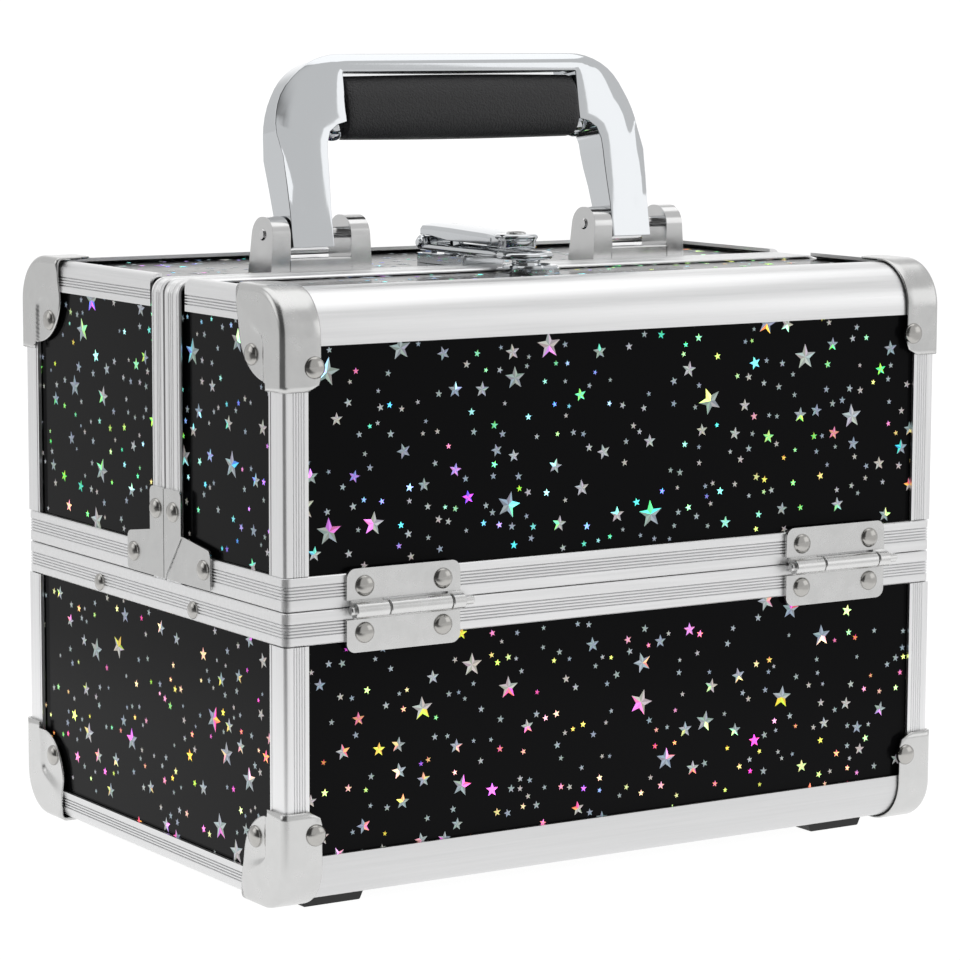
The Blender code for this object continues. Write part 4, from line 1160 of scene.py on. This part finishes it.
def ease(add, link, source, socket, start, stop, low=0.0, high=1.0):
    """A soft step of a value, from low at start to high at stop."""
    step = add("ShaderNodeMapRange", interpolation_type="SMOOTHSTEP")
    for name, value in (("From Min", start), ("From Max", stop), ("To Min", low), ("To Max", high)):
        step.inputs[name].default_value = value
    link(source, socket, step, "Value")
    return step


def combine_values(add, link, kind, *sources):
    joined = add("ShaderNodeMath", operation=kind)
    for entry, (node, socket) in enumerate(sources):
        link(node, socket, joined, entry)
    return joined


def studio_tone(add, link, coordinate):
    """The studio's tone round the case: mid-grey, and black to the left in front of it."""
    place_in = add("ShaderNodeTexCoord")
    turn = add("ShaderNodeMapping")
    turn.inputs["Rotation"].default_value = (0, 0, VIEW_YAW)
    split = add("ShaderNodeSeparateXYZ")
    link(place_in, coordinate, turn, "Vector")
    link(turn, "Vector", split, "Vector")
    left = ease(add, link, split, "X", 0.35, 0.0)
    near = ease(add, link, split, "Y", 0.0, -0.35)
    dark = combine_values(add, link, "MULTIPLY", (left, "Result"), (near, "Result"))
    return split, ease(add, link, dark, "Value", 0, 1, STUDIO_GREY, STUDIO_BLACK)


def make_world():
    """The studio: grey all round, black to the left in front of the case, and white behind it."""
    world = bpy.data.worlds.new("studio")
    bpy.context.scene.world = world
    world.use_nodes = True
    add, link = tools_of(world.node_tree)
    split, tone = studio_tone(add, link, "Generated")
    white = ease(add, link, split, "Y", 0.80, 0.97)
    blend = add("ShaderNodeMapRange")
    blend.inputs["To Max"].default_value = 1.1
    link(white, "Result", blend, "Value")
    link(tone, "Result", blend, "To Min")
    link(blend, "Result", world.node_tree.nodes["Background"], "Color")


def make_stage():
    """A wide floor with a white path on it that runs back from just before the case."""
    floor_mesh = bpy.data.meshes.new("floor")
    reach = 400.0
    floor_corners = [(-reach, -reach, 0), (reach, -reach, 0), (reach, reach, 0), (-reach, reach, 0)]
    floor_mesh.from_pydata(floor_corners, [], [(0, 1, 2, 3)])
    floor = bpy.data.objects.new("floor", floor_mesh)
    made, shader, add, link = nodes_of("studio_floor")
    set_shader(shader, Base_Color=(0.10, 0.10, 0.10, 1), Roughness=0.9, IOR=1.1, Emission_Color=(1, 1, 1, 1))
    split, tone = studio_tone(add, link, "Object")
    wide = add("ShaderNodeMath", operation="ABSOLUTE")
    link(split, "X", wide, 0)
    spread = add("ShaderNodeMath", operation="MULTIPLY_ADD")
    spread.inputs[1].default_value = -0.17
    link(split, "Y", spread, 0)
    link(wide, "Value", spread, 2)
    across = ease(add, link, spread, "Value", 0.50, 0.30)
    along = ease(add, link, split, "Y", -0.42, -0.24)
    path = combine_values(add, link, "MULTIPLY", (across, "Result"), (along, "Result"))
    blend = add("ShaderNodeMapRange")
    blend.inputs["To Max"].default_value = 0.98
    link(path, "Value", blend, "Value")
    link(tone, "Result", blend, "To Min")
    link(blend, "Result", shader, "Emission Strength")
    floor_mesh.materials.append(made)
    bpy.context.scene.collection.objects.link(floor)
    make_world()
    area_light("overhead", (0.1, 0.25, 1.9), (0, 0, 0), 2.6, 11, 2.0)
    area_light("right_soft", (1.6, -1.2, 0.7), (0, 0, 0.12), 1.4, 2.5, 1.0)
    area_light("left_soft", (-1.5, 0.6, 0.9), (0, 0, 0.12), 1.2, 2.5, 1.0)


def make_camera():
    pitch, roll = math.radians(7.428), math.radians(0.195)
    lens = bpy.data.cameras.new("camera")
    lens.lens = 134.54
    lens.sensor_width = 36
    camera = bpy.data.objects.new("camera", lens)
    turn = Matrix.Rotation(-VIEW_YAW, 4, "Z") @ Matrix.Rotation(math.pi / 2 - pitch, 4, "X")
    turn = turn @ Matrix.Rotation(roll, 4, "Z")
    camera.matrix_world = Matrix.Translation((-0.6732, -1.0609, 0.2870)) @ turn
    bpy.context.scene.collection.objects.link(camera)
    bpy.context.scene.camera = camera


make_body_sections()
for lid_side in (FRONT, REAR):
    make_lid_sections(lid_side)
for cap_side in (FRONT, REAR):
    for cap_end in (LEFT, RIGHT):
        make_hinge(cap_side, cap_end)
        for cap_top in (False, True):
            make_cap(cap_side, cap_end, cap_top)
make_corner_brackets()
for rivet_body, rivet_shape in rivets.items():
    add_piece(f"{rivet_body}_rivets", rivet_shape, rivet_body, RIVET_STEEL, sharp=60)
make_bow()
make_grip()
make_handle_brackets()
make_latch()
make_stars()
make_inside()
make_stage()
make_camera()
bpy.context.scene.view_settings.view_transform = "Standard"
